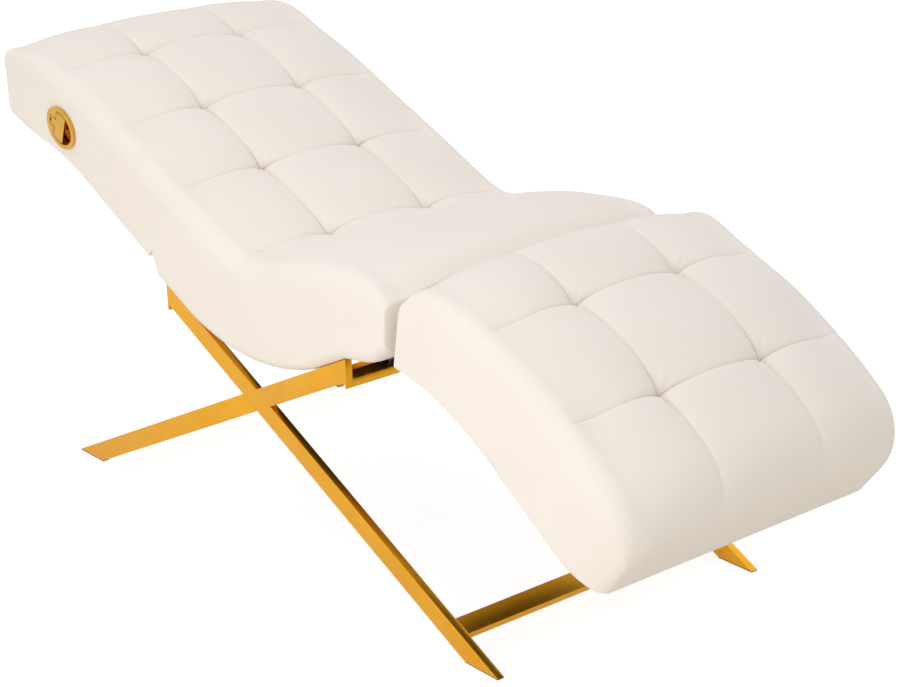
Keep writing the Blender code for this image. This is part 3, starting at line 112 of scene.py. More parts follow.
# Seams across the bed
BACK_SEAM_SHARES = (-0.762, -0.511)
SEAT_SEAM_SHARE = -0.052
LEG_SEAM_SHARES = (0.388, 0.740)
FOLD_SHARE = -0.542

# Upholstery: its edges and corners
EDGE_ROUND = 46 * MM
UNDER_ROUND = 8 * MM
BELLY_ROUND = 26 * MM
FOOT_UNDER_ROUND = 14 * MM
FOOT_UNDER_RUN = 120 * MM
SIDE_DRAW = 4 * MM
HEAD_CROWN = 18 * MM
BACK_CROWN = 26 * MM
SEAT_CROWN = 24 * MM
LEG_CROWN = 28 * MM
CROWN_POWER = 3
SOFT_CORNER = 2.0
FULL_CORNER = 5.0
HEAD_CORNER_RUN = 220 * MM
GAP_CORNER_RUN = 170 * MM

# Sewing
COLUMN_SEAM = 119 * MM
ARCH_RISE = 44 * MM
PILLOW_RISE = 10 * MM
ARCH_POWER = 0.42
PILLOW_POWER = 0.6
OPEN_SHARE = 0.6
CREASE_DEPTH = 1.3 * MM
CREASE_WIDTH = 1.8 * MM
GATHER_HEIGHT = 0.16 * MM
GATHER_WAVES = (5.2 * MM, 3.4 * MM)
GATHER_RUN = 9 * MM
TUFT_FOLD_HEIGHT = 1.0 * MM
TUFT_FOLD_COUNTS = (9, 6)
TUFT_FOLD_START = 9 * MM
TUFT_FOLD_RUN = 30 * MM
PUFF_END = 322 * MM
COUCH_SEAM_END = 330 * MM
LEG_SEAM_END = 392 * MM
SEAM_FADE = 60 * MM
END_FADE = 75 * MM
END_STRENGTH = 0.35
PLAIN_RUN = 50 * MM

# How closely the skins are divided
COARSE_STEP = 7 * MM
FINE_STEP = 3.2 * MM
FINE_REACH = 46 * MM
CLOSEST_STEP = 0.4 * MM
CREASE_STEPS = (1.2 * MM, 2.6 * MM)
UNDERSIDE_STEPS = 24
UNDER_ROUND_STEPS = 6
SIDE_STEPS = 14
EDGE_STEPS = 14
END_STEPS = 16
DOME_STEPS = 10

# Ends of the cushions; the rounds are those over the top, under it and round the sides
END_DOME = 3 * MM
END_SEWING = 0.25
END_SEWING_POWER = 0.7
HEAD_BULGE = 17 * MM
HEAD_ROUNDS = (13 * MM, 10 * MM, 14 * MM)
LEG_REAR_BULGE = 6 * MM
LEG_REAR_ROUNDS = (18 * MM, 8 * MM, 14 * MM)
FOOT_BULGE = 108 * MM
FOOT_ROUNDS = (86 * MM, 16 * MM, 38 * MM)
SEAT_FRONT_BULGE = 5 * MM
SEAT_FRONT_ROUNDS = (24 * MM, 10 * MM, 18 * MM)
NOTCH_DEPTH = 15 * MM
NOTCH_DRAW = 1.5 * MM
BELLY_ROUND_RUN = 25 * MM

# Wells and slots cut into the cushions; each well runs from its first length to its second
WELL_HALF = HALF_WIDTH - 55 * MM
SLOT_INNER, SLOT_OUTER = 228 * MM, 270 * MM
LEG_SLOT_INNER = 250 * MM
EYE_CLEAR = 18 * MM
BACK_WELL = (35 * MM, 490 * MM)
BACK_WELL_DEPTH = 85 * MM
BACK_SLOT_END = 71 * MM
BACK_SLOT_LOW = 30 * MM
SEAT_WELL_FLOOR = 380 * MM
SEAT_SLOT_END = 35 * MM
LEG_WELL = (40 * MM, 430 * MM)
LEG_WELL_DEPTH = 100 * MM
LEG_SLOT_END = 50 * MM
LEG_SLOT_TOP = 72.5 * MM
HANDLE_LENGTH = 106 * MM
HANDLE_HEIGHT = 82 * MM
HANDLE_RIM = 6.4 * MM
HANDLE_STEPS = 40
HANDLE_OVERCUT = 1 * MM
OUTSIDE_Y = -0.4
SHARP_WELL_EDGE = math.radians(50)

# Edges of the metal
TUBE_EASE = 1.2 * MM
LEVER_EASE = 0.8 * MM
EASE_SEGMENTS = 3
SAME_POINT = 0.01 * MM
FLAT_ANGLE = math.radians(1)
CORNER_ANGLE = 0.6
SHARP_METAL_EDGE = math.radians(35)

# Dust covers
CLOTH_SAGS = {"back": 1.5 * MM, "seat": 0.8 * MM, "leg_rest": 1.5 * MM}
CLOTH_STEPS = 49
CLOTH_INSET = 0.5 * MM
STAPLE_COUNT = 11
STAPLE_PULL = 0.25 * MM
STAPLE_FADE = 0.03
PROBE_START = 100 * MM
PROBE_ASIDE = 3 * MM

# Finishes
TONE_SPAN = (0.3, 0.7)
GRAIN_STRETCH = (0.06, 1.0, 1.0)

# Studio: a light is (name, place, aim, size, power in watts)
CAMERA_PLACE = Vector((3.5657, -2.6572, 2.0040))
CAMERA_AZIMUTH = math.radians(51.656)
CAMERA_RISE = math.radians(20.4075)
CAMERA_ROLL = math.radians(-1.902)
LENS_MM = 94.33
SENSOR_MM = 36
FLOOR_HALF = 9.0
FLOOR_GLOW = 0.86
FLOOR_IN_METAL = 0.39
DOME_LEVELS = (0.51, 1.02)
LIGHTS = (
    ("near_side_box", (1.1, -3.3, 1.1), (0.2, 0, 0.5), (2.8, 1.6), 34),
    ("top_box", (-0.2, 0.0, 3.4), (0, 0, 0.6), (2.6, 2.0), 7),
)


def linear(code):
    """Linear colour from an sRGB hex code."""
    channels = [int(code[i : i + 2], 16) / 255 for i in (1, 3, 5)]
    return tuple(
        c / 12.92 if c <= 0.04045 else ((c + 0.055) / 1.055) ** 2.4 for c in channels
    ) + (1.0,)


def node(tree, kind, settings=None, **inputs):
    """Adds a shader node; an input is a value, or a (node, output name) pair to link from.

    Inputs go by name, or by number as _0, _1 and so on where names repeat.
    """
    made = tree.nodes.new(kind)
    for name, value in (settings or {}).items():
        setattr(made, name, value)
    for name, value in inputs.items():
        key = int(name[1:]) if name[0] == "_" else name.replace("_", " ")
        socket = made.inputs[key]
        if isinstance(value, tuple) and len(value) == 2 and hasattr(value[0], "outputs"):
            tree.links.new(value[0].outputs[value[1]], socket)
        else:
            socket.default_value = value
    return made


def surface(name, **fixed):
    """A material with its Principled shader, whose even values sit on the shader's own sockets."""
    material = bpy.data.materials.new(name)
    material.use_nodes = True
    tree = material.node_tree
    shader = tree.nodes["Principled BSDF"]
    for socket, value in fixed.items():
        shader.inputs[socket.replace("_", " ")].default_value = value
    return material, tree, shader


def link(tree, source, output, target, socket):
    """Joins one node's output to another node's input."""
    tree.links.new(source.outputs[output], target.inputs[socket])


def per_mm(size_mm):
    """Scale of a pattern whose features have this size, in object space."""
    return 1 / (size_mm * MM)


def noise(tree, size_mm, **inputs):
    """Cloudy noise fixed to the object, with features of this size."""
    place = node(tree, "ShaderNodeTexCoord")
    return node(
        tree, "ShaderNodeTexNoise", Vector=(place, "Object"), Scale=per_mm(size_mm), **inputs
    )


def tint(tree, shader, source, dark, pale, span=(0.0, 1.0)):
    """Colours the surface between two tones along a pattern."""
    tone = node(tree, "ShaderNodeValToRGB", Fac=source)
    for stop, place, code in zip(tone.color_ramp.elements, span, (dark, pale)):
        stop.position, stop.color = place, linear(code)
    link(tree, tone, "Color", shader, "Base Color")


def emboss(tree, shader, source, strength, height):
    """Raises the surface a little along a pattern."""
    bump = node(tree, "ShaderNodeBump", Height=source, Strength=strength, Distance=height)
    link(tree, bump, "Normal", shader, "Normal")


def cream_velvet():
    """Short-pile polyester velvet: a matte body, paler where the pile is seen edge on."""
    material, tree, shader = surface(
        "cream_short_pile_velvet", Roughness=0.9, Sheen_Weight=0.18, Sheen_Roughness=0.5,
        Specular_IOR_Level=0.2,
    )
    brushed = noise(tree, 160, Detail=2.0, Roughness=0.5)
    tint(tree, shader, (brushed, "Fac"), "#EFE6DD", "#F1E9E0", TONE_SPAN)
    pile = noise(tree, 2.2, Detail=2.0)
    emboss(tree, shader, (pile, "Fac"), 0.08, 0.4 * MM)
    return material


def gold_tube():
    """Steel tube with a gold lacquer: a warm metal with a fine orange peel in its gloss."""
    material, tree, shader = surface("gold_lacquered_steel_tube", Metallic=1.0, Roughness=0.34)
    shade = noise(tree, 60, Detail=2.0)
    tint(tree, shader, (shade, "Fac"), "#F0AE2C", "#F6B634", TONE_SPAN)
    peel = noise(tree, 3, Detail=1.0)
    emboss(tree, shader, (peel, "Fac"), 0.05, 0.1 * MM)
    return material


def gold_plate():
    """Die-cast zinc, gold plated and polished: the handle is brighter than the tubes."""
    material, tree, shader = surface("gold_plated_zinc_casting", Metallic=1.0, Roughness=0.18)
    haze = noise(tree, 12, Detail=3.0)
    tint(tree, shader, (haze, "Fac"), "#D9A03A", "#EDBE58")
    return material


def black_steel():
    """Black powder coat on pressed steel: dark grey with a sandy gloss."""
    material, tree, shader = surface(
        "black_powder_coated_steel", Base_Color=linear("#17171A"), Roughness=0.5, Metallic=0.0
    )
    grit = noise(tree, 0.8, Detail=2.0)
    emboss(tree, shader, (grit, "Fac"), 0.3, 0.15 * MM)
    return material


def zinc_steel():
    """Zinc-plated steel fasteners: pale metal with a faint cloudy tone."""
    material, tree, shader = surface("bright_zinc_plated_steel", Metallic=1.0, Roughness=0.3)
    cloud = noise(tree, 5, Detail=2.0)
    tint(tree, shader, (cloud, "Fac"), "#B4B6B8", "#DADBDC")
    return material


def wood(name, dark, pale, grain_mm):
    """Sawn wood: streaks along its length, with no finish on it."""
    material, tree, shader = surface(name, Roughness=0.75)
    place = node(tree, "ShaderNodeTexCoord")
    stretch = node(tree, "ShaderNodeMapping", Vector=(place, "Object"), Scale=GRAIN_STRETCH)
    grain = node(
        tree, "ShaderNodeTexNoise", Vector=(stretch, "Vector"), Scale=per_mm(grain_mm),
        Detail=4.0, Distortion=0.4,
    )
    tint(tree, shader, (grain, "Fac"), dark, pale, TONE_SPAN)
    emboss(tree, shader, (grain, "Fac"), 0.2, 0.3 * MM)
    return material


def dust_cloth():
    """Black spun-bonded lining: flat, with a fine dimpled press pattern."""
    material, tree, shader = surface("black_spunbond_lining", Roughness=0.95)
    place = node(tree, "ShaderNodeTexCoord")
    cells = node(
        tree, "ShaderNodeTexVoronoi", Vector=(place, "Object"), Scale=per_mm(2.5)
    )
    tint(tree, shader, (cells, "Distance"), "#141416", "#242428")
    emboss(tree, shader, (cells, "Distance"), 0.3, 0.3 * MM)
    return material


def black_moulding(name, roughness):
    """Moulded black rubber or PVC: matte, with a faint mould texture."""
    material, tree, shader = surface(name, Base_Color=linear("#161616"), Roughness=roughness)
    skin = noise(tree, 1.2, Detail=2.0)
    emboss(tree, shader, (skin, "Fac"), 0.25, 0.1 * MM)
    return material


FINISHES = {
    "velvet": cream_velvet(),
    "gold_paint": gold_tube(),
    "gold_plate": gold_plate(),
    "black_steel": black_steel(),
    "zinc_steel": zinc_steel(),
    "plywood": wood("raw_birch_plywood", "#A8845A", "#CDB084", 6),
    "pine": wood("planed_pine", "#B98F5C", "#DDBD8A", 9),
    "dust_cloth": dust_cloth(),
    "cable_sheath": black_moulding("black_pvc_cable_sheath", 0.5),
    "rubber": black_moulding("black_moulded_rubber", 0.8),
}


def dress(item, slot):
    """Gives a piece the finish of its slot."""
    item.data.materials.clear()
    item.data.materials.append(FINISHES[slot])


def curve_through(points):
    """Smooth heights along the bed through given points."""
    xs = np.array([point[0] for point in points])
    zs = np.array([point[1] for point in points])
    rises = np.diff(zs) / np.diff(xs)
    slopes = np.concatenate([[rises[0]], (rises[:-1] + rises[1:]) / 2, [rises[-1]]])

    def height(x):
        i = int(np.clip(np.searchsorted(xs, x, side="right") - 1, 0, len(xs) - 2))
        span = xs[i + 1] - xs[i]
        t = (x - xs[i]) / span
        if t < 0:
            return zs[i] + slopes[i] * (x - xs[i])
        if t > 1:
            return zs[i + 1] + slopes[i + 1] * (x - xs[i + 1])
        return (
            zs[i] * (1 + 2 * t) * (1 - t) ** 2
            + slopes[i] * span * t * (1 - t) ** 2
            + zs[i + 1] * t * t * (3 - 2 * t)
            + slopes[i + 1] * span * t * t * (t - 1)
        )

    return height


def outline(shares, start, reach, base, rise):
    """Heights along the bed from shares of a reach and a rise."""
    return curve_through([(FRAME_X + start + reach * x, base + rise * z) for x, z in shares])


LEG_X = FRAME_X + LEG_REST_START
LEG_REST_LENGTH = FOOT_REACH - LEG_REST_START
LEG_CREST = FRAME_HEIGHT + LEG_REST_RISE

back_top = outline(BACK_TOP_SHARES, 0, HEAD_REACH, FRAME_HEIGHT, HEAD_RISE)
back_bottom = outline(BACK_BOTTOM_SHARES, 0, HEAD_REACH, FRAME_HEIGHT, HEAD_RISE)
seat_top = outline(SEAT_TOP_SHARES, 0, SEAT_REACH, FRAME_HEIGHT, SEAT_RISE)
seat_rear = outline(SEAT_REAR_SHARES, 0, SEAT_REACH, FRAME_HEIGHT, SEAT_RISE)
seat_front = outline(SEAT_FRONT_SHARES, 0, SEAT_REACH, FRAME_HEIGHT, SEAT_RISE)
leg_rest_top = outline(
    LEG_TOP_SHARES, LEG_REST_START, LEG_REST_LENGTH, LEG_CREST, -LEG_REST_FALL
)
leg_rest_bottom = outline(
    LEG_BOTTOM_SHARES, LEG_REST_START, LEG_REST_LENGTH, LEG_CREST, -LEG_REST_FALL
)


def share_of(shares, i, start, reach):
    """Where along the bed a point of an outline lies."""
    return FRAME_X + start + reach * shares[i][0]


HEAD_TOP_X = share_of(BACK_TOP_SHARES, 0, 0, HEAD_REACH)
HEAD_LOW_X = share_of(BACK_BOTTOM_SHARES, 0, 0, HEAD_REACH)
BACK_LOW_X = share_of(BACK_BOTTOM_SHARES, -1, 0, HEAD_REACH)
SEAT_LOW_X = share_of(SEAT_REAR_SHARES, 0, 0, SEAT_REACH)
SEAT_FRONT_X = FRAME_X + SEAT_REACH
SEAT_FRONT_LOW_X = share_of(SEAT_FRONT_SHARES, -1, 0, SEAT_REACH)
FOLD_X = FRAME_X + SEAT_REACH * FOLD_SHARE
BACK_SEAMS = [FRAME_X + HEAD_REACH * share for share in BACK_SEAM_SHARES]
SEAT_SEAM = FRAME_X + SEAT_REACH * SEAT_SEAM_SHARE
LEG_SEAMS = [LEG_X + LEG_REST_LENGTH * share for share in LEG_SEAM_SHARES]
LEG_TOP_ENDS = [LEG_X + LEG_REST_LENGTH * LEG_TOP_SHARES[i][0] for i in (0, -1)]
LEG_LOW_ENDS = [LEG_X + LEG_REST_LENGTH * LEG_BOTTOM_SHARES[i][0] for i in (0, -1)]


def seat_bottom(x):
    """The belly, which lies on the top faces of the tubes near its ends."""
    out = x - FRAME_X
    if out < SEAT_REACH * SEAT_REAR_SHARES[-1][0]:
        return max(seat_rear(x), FRAME_HEIGHT + TUBE_SKIN)
    if out > SEAT_REACH * SEAT_FRONT_SHARES[0][0]:
        return max(seat_front(x), FRAME_HEIGHT + TUBE_SKIN)
    belly = FRAME_HEIGHT - BELLY_DROP * (1 - (out / TOP_REACH) ** 2)
    tube = FRAME_HEIGHT - math.tan(TUBE_SLOPE) * (TOP_REACH - abs(out))
    return max(belly, tube + TUBE_SKIN)


def smoothstep(t):
    """0 below 0, 1 above 1 and an even rise between them."""
    t = np.clip(t, 0, 1)
    return t * t * (3 - 2 * t)


def arch(place, seams, low, high, power):
    """0 on a seam and 1 between two of them; it stays up towards the open ends."""
    place = np.asarray(place, dtype=float)
    out = np.ones_like(place)
    for near, far in zip(seams, seams[1:]):
        t = (place - near) / (far - near)
        inside = (t >= 0) & (t <= 1)
        out = np.where(inside, np.clip(4 * t * (1 - t), 0, 1) ** power, out)
    for seam, end, turn in ((seams[0], low, -1), (seams[-1], high, 1)):
        run = abs(end - seam) * OPEN_SHARE
        t = np.clip((place - seam) * turn / run, 0, 1)
        out = np.where((place - seam) * turn > 0, (t * (2 - t)) ** power, out)
    return out


def crease(distance):
    """1 in a seam's line and less away from it."""
    return np.exp(-np.abs(distance) / CREASE_WIDTH)


def pucker(distance, along, shift):
    """Short gathers that run away from a seam."""
    long_wave, short_wave = GATHER_WAVES
    waves = np.sin(along / long_wave + shift) + 0.6 * np.sin(along / short_wave + 2.3 * shift)
    return GATHER_HEIGHT * waves * np.exp(-np.abs(distance) / GATHER_RUN)


def tuft_folds(dx, dy, shift):
    """Soft folds that fan out from a sewn tuft."""
    away = np.hypot(dx, dy)
    angle = np.arctan2(dy, dx)
    fine, broad = TUFT_FOLD_COUNTS
    fan = np.cos(fine * angle + shift) + 0.8 * np.cos(broad * angle + 1.7 * shift)
    near = smoothstep(away / TUFT_FOLD_START) * np.exp(-((away / TUFT_FOLD_RUN) ** 2))
    return TUFT_FOLD_HEIGHT * fan * near


class Quilting:
    """The sewing on a top: rows across it, two columns along it, and a tuft where they meet.

    Rows end at seam_end from the middle of the bed. Columns fade out after plain_from.
    """

    def __init__(self, rows, low, high, seam_end, plain_from=None):
        self.rows, self.low, self.high = rows, low, high
        self.seam_end, self.plain_from = seam_end, plain_from

    def depth(self, x, y):
        """How far the sewing draws the top down at a place along and across the bed."""
        half = HALF_WIDTH - EDGE_ROUND
        columns = (-COLUMN_SEAM, COLUMN_SEAM)
        rise_x = arch(x, self.rows, self.low, self.high, ARCH_POWER)
        rise_y = arch(y, columns, -half, half, ARCH_POWER)
        pull = ARCH_RISE * (1 - rise_x) * (1 - rise_y)
        row_fade = 1 - smoothstep((np.abs(y) - (PUFF_END - SEAM_FADE)) / SEAM_FADE)
        column_fade = END_STRENGTH + (1 - END_STRENGTH) * smoothstep((x - self.low) / END_FADE)
        if self.plain_from is None:
            near_end = smoothstep((self.high - x) / END_FADE)
            column_fade = column_fade * (END_STRENGTH + (1 - END_STRENGTH) * near_end)
        else:
            column_fade = column_fade * (1 - smoothstep((x - self.plain_from) / PLAIN_RUN))
        puff_x = 1 - (1 - arch(x, self.rows, self.low, self.high, PILLOW_POWER)) * row_fade
        puff_y = 1 - (1 - arch(y, columns, -half, half, PILLOW_POWER)) * column_fade
        depth = pull + PILLOW_RISE * (1 - puff_x * puff_y)
        for side in (-1, 1):
            away = y - side * COLUMN_SEAM
            sewn = CREASE_DEPTH * crease(away) + pucker(away, x, 2.0 + side)
            depth = depth + sewn * column_fade
        for i, row in enumerate(self.rows):
            for side in (-1, 1):
                depth = depth + tuft_folds(x - row, y - side * COLUMN_SEAM, 1.9 * i + side)
        return depth

    def stitch(self, x, y, reach):
        """How far a seam across the bed sinks in; reach follows the skin out and over its edge."""
        fade = 1 - smoothstep((reach - (self.seam_end - SEAM_FADE)) / SEAM_FADE)
        return fade * sum(
            CREASE_DEPTH * crease(x - row) + pucker(x - row, y, 1.3 * i)
            for i, row in enumerate(self.rows)
        )


def steps_between(low, high, seams):
    """Places from low to high: far apart on the pillows, close together at the seams."""
    places = [low, high]
    for seam in seams:
        if low < seam < high:
            places.append(seam)
            for step in CREASE_STEPS:
                places += [seam - step, seam + step]
            reach = CREASE_STEPS[-1] + FINE_STEP
            while reach < FINE_REACH:
                places += [seam - reach, seam + reach]
                reach += FINE_STEP
    places = sorted(place for place in places if low <= place <= high)
    filled = [places[0]]
    for place in places[1:]:
        gap = place - filled[-1]
        if gap < CLOSEST_STEP:
            continue
        count = max(1, round(gap / COARSE_STEP)) if gap > FINE_STEP * 1.5 else 1
        start = filled[-1]
        filled += [start + gap * (i + 1) / count for i in range(count)]
    return filled


TOP_PLACES = steps_between(0, HALF_WIDTH - EDGE_ROUND, [COLUMN_SEAM])[::-1]


def section(half, height, under, square):
    """One slice of a cushion, right round from underneath.

    A point is (across, up, top share, reach along the skin, how far its face looks sideways).
    A square of 2 rolls the top edge over in a quarter circle; more leaves it fuller.
    """
    lowest = half + height
    flat_under = np.linspace(0, half - under, UNDERSIDE_STEPS)
    points = [(y, 0.0, 0.0, lowest, 0.0) for y in flat_under]
    for step in range(1, UNDER_ROUND_STEPS + 1):
        a = -math.pi / 2 + step * math.pi / (2 * UNDER_ROUND_STEPS)
        across, up = half - under + under * math.cos(a), under * (1 + math.sin(a))
        points.append((across, up, 0.0, lowest, 0.0))
    shoulder = height - EDGE_ROUND
    flat = half - EDGE_ROUND
    for step in range(1, SIDE_STEPS + 1):
        up = under + (shoulder - under) * step / SIDE_STEPS
        reach = flat + EDGE_ROUND * math.pi / 2 + shoulder - up
        points.append((half, up, 0.0, reach, 1.0))
    for step in range(1, EDGE_STEPS):
        a = step * math.pi / (2 * EDGE_STEPS)
        across = flat + EDGE_ROUND * math.cos(a) ** (2 / square)
        up = shoulder + EDGE_ROUND * math.sin(a) ** (2 / square)
        reach = flat + EDGE_ROUND * (math.pi / 2 - a)
        points.append((across, up, math.sin(a) ** 2, reach, math.cos(a)))
    for y in TOP_PLACES:
        across = y * flat / (HALF_WIDTH - EDGE_ROUND)
        points.append((across, height, 1.0, across, 0.0))
    left = [(-y, *rest) for y, *rest in reversed(points[1:-1])]
    return np.array(points + left)


def lofted(name, slices, widths, unders, crown, sewing, ends):
    """A closed skin over slices from bottom points to top points, quilted along its top.

    The skin leaves a slice along its normal: up on the top, and sideways on the sides.
    """
    rings = []
    for (low, high), half, under in zip(slices, widths, unders):
        low, high = Vector(low), Vector(high)
        up = (high - low).normalized()
        square = squareness(high.x)
        rings.append((low, high, up, section(half, (high - low).length, under, square), 1.0))
    first = closed_end(rings[0], rings[1], widths[0], *ends[0])
    last = closed_end(rings[-1], rings[-2], widths[-1], *ends[1])
    rings = first[::-1] + rings + last
    count = len(rings[0][3])
    grid = np.zeros((len(rings), count, 3))
    half = HALF_WIDTH - EDGE_ROUND
    for i, (low, high, up, points, full) in enumerate(rings):
        y, w, share, reach, aside = points.T
        x = np.full_like(y, high.x)
        swell = crown(high.x) * np.clip(1 - np.abs(y / half) ** CROWN_POWER, 0, None)
        sunk = sewing.stitch(x, y, reach) * full
        lift = (swell - sewing.depth(x, y)) * share * full - sunk * np.sqrt(1 - aside**2)
        grid[i, :, 0] = low.x + up.x * (w + lift)
        grid[i, :, 1] = y - np.sign(y) * sunk * aside
        grid[i, :, 2] = low.y + up.y * (w + lift)
    faces = []
    for i in range(len(rings) - 1):
        for j in range(count):
            k = (j + 1) % count
            faces.append((i * count + j, i * count + k, (i + 1) * count + k, (i + 1) * count + j))
    verts = [tuple(point) for point in grid.reshape(-1, 3)]
    for i, turn in ((0, 1), (len(rings) - 1, -1)):
        verts.append(tuple(grid[i].mean(axis=0)))
        middle = len(verts) - 1
        for j in range(count):
            k = (j + 1) % count
            faces.append((middle, i * count + k, i * count + j)[::turn])
    mesh = bpy.data.meshes.new(name)
    mesh.from_pydata(verts, [], faces)
    mesh.validate()
    item = bpy.data.objects.new(name, mesh)
    bpy.context.scene.collection.objects.link(item)
    face_outward(item)
    mesh.shade_smooth()
    return item


def face_outward(item):
    """Turns every face of a closed mesh outward."""
    shape = bmesh.new()
    shape.from_mesh(item.data)
    bmesh.ops.recalc_face_normals(shape, faces=shape.faces)
    shape.to_mesh(item.data)
    shape.free()


def squareness(x):
    """The corners are full at the head end and beside the gap, and soft elsewhere."""
    full = max(
        1 - float(smoothstep(abs(x - end) / run))
        for end, run in (
            (HEAD_TOP_X, HEAD_CORNER_RUN), (SEAT_FRONT_X, GAP_CORNER_RUN),
            (LEG_TOP_ENDS[0], GAP_CORNER_RUN),
        )
    )
    return SOFT_CORNER + (FULL_CORNER - SOFT_CORNER) * full


def closed_end(ring, inner, half, bulge, rounds):
    """Slices that round off an end of a cushion: over its top, under it and round its sides.

    They carry on the way that the top and the underside run from the slice further in.
    """
    low, high, up, points, full = ring
    over, under, beside = rounds
    below = (low - inner[0]).normalized()
    above = (high - inner[1]).normalized()
    height = (high - low).length
    rings = []
    for step in range(1, END_STEPS + 1):
        t = step / END_STEPS * math.pi / 2
        reach, inset = bulge * math.sin(t), 1 - math.cos(t)
        bottom, top = low + below * reach, high + above * reach
        tall = (top - bottom).length
        squeezed = points.copy()
        squeezed[:, 0] *= 1 - beside * inset / half
        lowest, highest = under * inset, tall - over * inset
        squeezed[:, 1] = lowest + points[:, 1] / height * (highest - lowest)
        fade = full * (END_SEWING + (1 - END_SEWING) * math.cos(t) ** END_SEWING_POWER)
        rings.append((bottom, top, (top - bottom).normalized(), squeezed, fade))
    bottom, top, up, squeezed, fade = rings[-1]
    out = Vector((up.y, -up.x))
    out = out if out.dot(above) > 0 else -out
    middle = (lowest + highest) / 2
    for step in range(1, DOME_STEPS):
        keep = 1 - step / DOME_STEPS
        shrunk = squeezed.copy()
        shrunk[:, 0] *= keep
        shrunk[:, 1] = middle + (squeezed[:, 1] - middle) * keep
        dome = out * END_DOME * (1 - keep**2)
        rings.append((bottom + dome, top + dome, up, shrunk, fade * keep**3))
    return rings


def half_at(share):
    """Half width along a cushion, whose sides are drawn in a little between its ends."""
    return HALF_WIDTH - SIDE_DRAW * math.sin(math.pi * min(1.0, max(0.0, share)))


class Slant:
    """The plane of a section's underside: u runs away from the seat, w stands up from it."""

    def __init__(self, near, far):
        run, rise = far[0] - near[0], far[1] - near[1]
        length = math.hypot(run, rise)
        turn = 1 if run > 0 else -1
        self.near = near
        self.u = (run / length, rise / length)
        self.w = (-self.u[1] * turn, self.u[0] * turn)

    def point(self, u, w):
        """The place in the scene of a place on the plane."""
        return (
            self.near[0] + self.u[0] * u + self.w[0] * w,
            self.near[1] + self.u[1] * u + self.w[1] * w,
        )

    def local(self, x, z):
        """The place on the plane of a place in the scene."""
        dx, dz = x - self.near[0], z - self.near[1]
        return dx * self.u[0] + dz * self.u[1], dx * self.w[0] + dz * self.w[1]

    def box(self, low_u, high_u, low_w, high_w):
        """The outline of a box that lies along the plane."""
        return [
            self.point(low_u, low_w), self.point(high_u, low_w),
            self.point(high_u, high_w), self.point(low_u, high_w),
        ]


BACK_SLANT = Slant(
    (BACK_LOW_X, back_bottom(BACK_LOW_X)), (HEAD_LOW_X, back_bottom(HEAD_LOW_X))
)
LEG_SLANT = Slant(
    *((LEG_X + LEG_REST_LENGTH * x, LEG_CREST - LEG_REST_FALL * z) for x, z in LEG_PLANE_SHARES)
)


def block(outline, low, high):
    """A cutting block: an outline in side view, from one distance across the bed to another."""
    shape = bmesh.new()
    near = [shape.verts.new((x, low, z)) for x, z in outline]
    far = [shape.verts.new((x, high, z)) for x, z in outline]
    shape.faces.new(near)
    shape.faces.new(far)
    for i in range(len(outline)):
        j = (i + 1) % len(outline)
        shape.faces.new((near[i], near[j], far[j], far[i]))
    bmesh.ops.recalc_face_normals(shape, faces=shape.faces)
    mesh = bpy.data.meshes.new("block")
    shape.to_mesh(mesh)
    shape.free()
    item = bpy.data.objects.new("block", mesh)
    bpy.context.scene.collection.objects.link(item)
    return item


def hollow(item, blocks):
    """Cuts the blocks out of a cushion and keeps its smooth top."""
    for cutter in blocks:
        carve = item.modifiers.new("carve", "BOOLEAN")
        carve.operation = "DIFFERENCE"
        carve.solver = "EXACT"
        carve.object = cutter
        with bpy.context.temp_override(object=item, active_object=item):
            bpy.ops.object.modifier_apply(modifier="carve")
        bpy.data.objects.remove(cutter)
    item.data.shade_smooth()
    item.data.set_sharp_from_angle(angle=SHARP_WELL_EDGE)


def slots(outline, inner):
    """The same slot on both sides of the bed, for a pair of hinge arms or plates."""
    return [block(outline, *sorted((side * inner, side * SLOT_OUTER))) for side in (-1, 1)]


def back_blocks():
    """The well under the backrest, the hinge slots and the bed of the handle."""
    u, w = BACK_SLANT.local(FOLD.x, FOLD.z)
    well = BACK_SLANT.box(*BACK_WELL, -BACK_WELL_DEPTH, BACK_WELL_DEPTH)
    groove = BACK_SLANT.box(u - EYE_CLEAR, BACK_SLOT_END, BACK_SLOT_LOW, w + EYE_CLEAR)
    low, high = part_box("release_handle_cup")
    along, up = BACK_SLANT.local((low.x + high.x) / 2, (low.z + high.z) / 2)
    bed = []
    for step in range(HANDLE_STEPS):
        a = step * 2 * math.pi / HANDLE_STEPS
        bed.append(
            BACK_SLANT.point(
                along + (HANDLE_LENGTH / 2 - HANDLE_RIM) * math.cos(a),
                up + (HANDLE_HEIGHT / 2 - HANDLE_RIM) * math.sin(a),
            )
        )
    return [
        block(well, -WELL_HALF, WELL_HALF), block(bed, OUTSIDE_Y, high.y + HANDLE_OVERCUT),
        *slots(groove, SLOT_INNER),
    ]


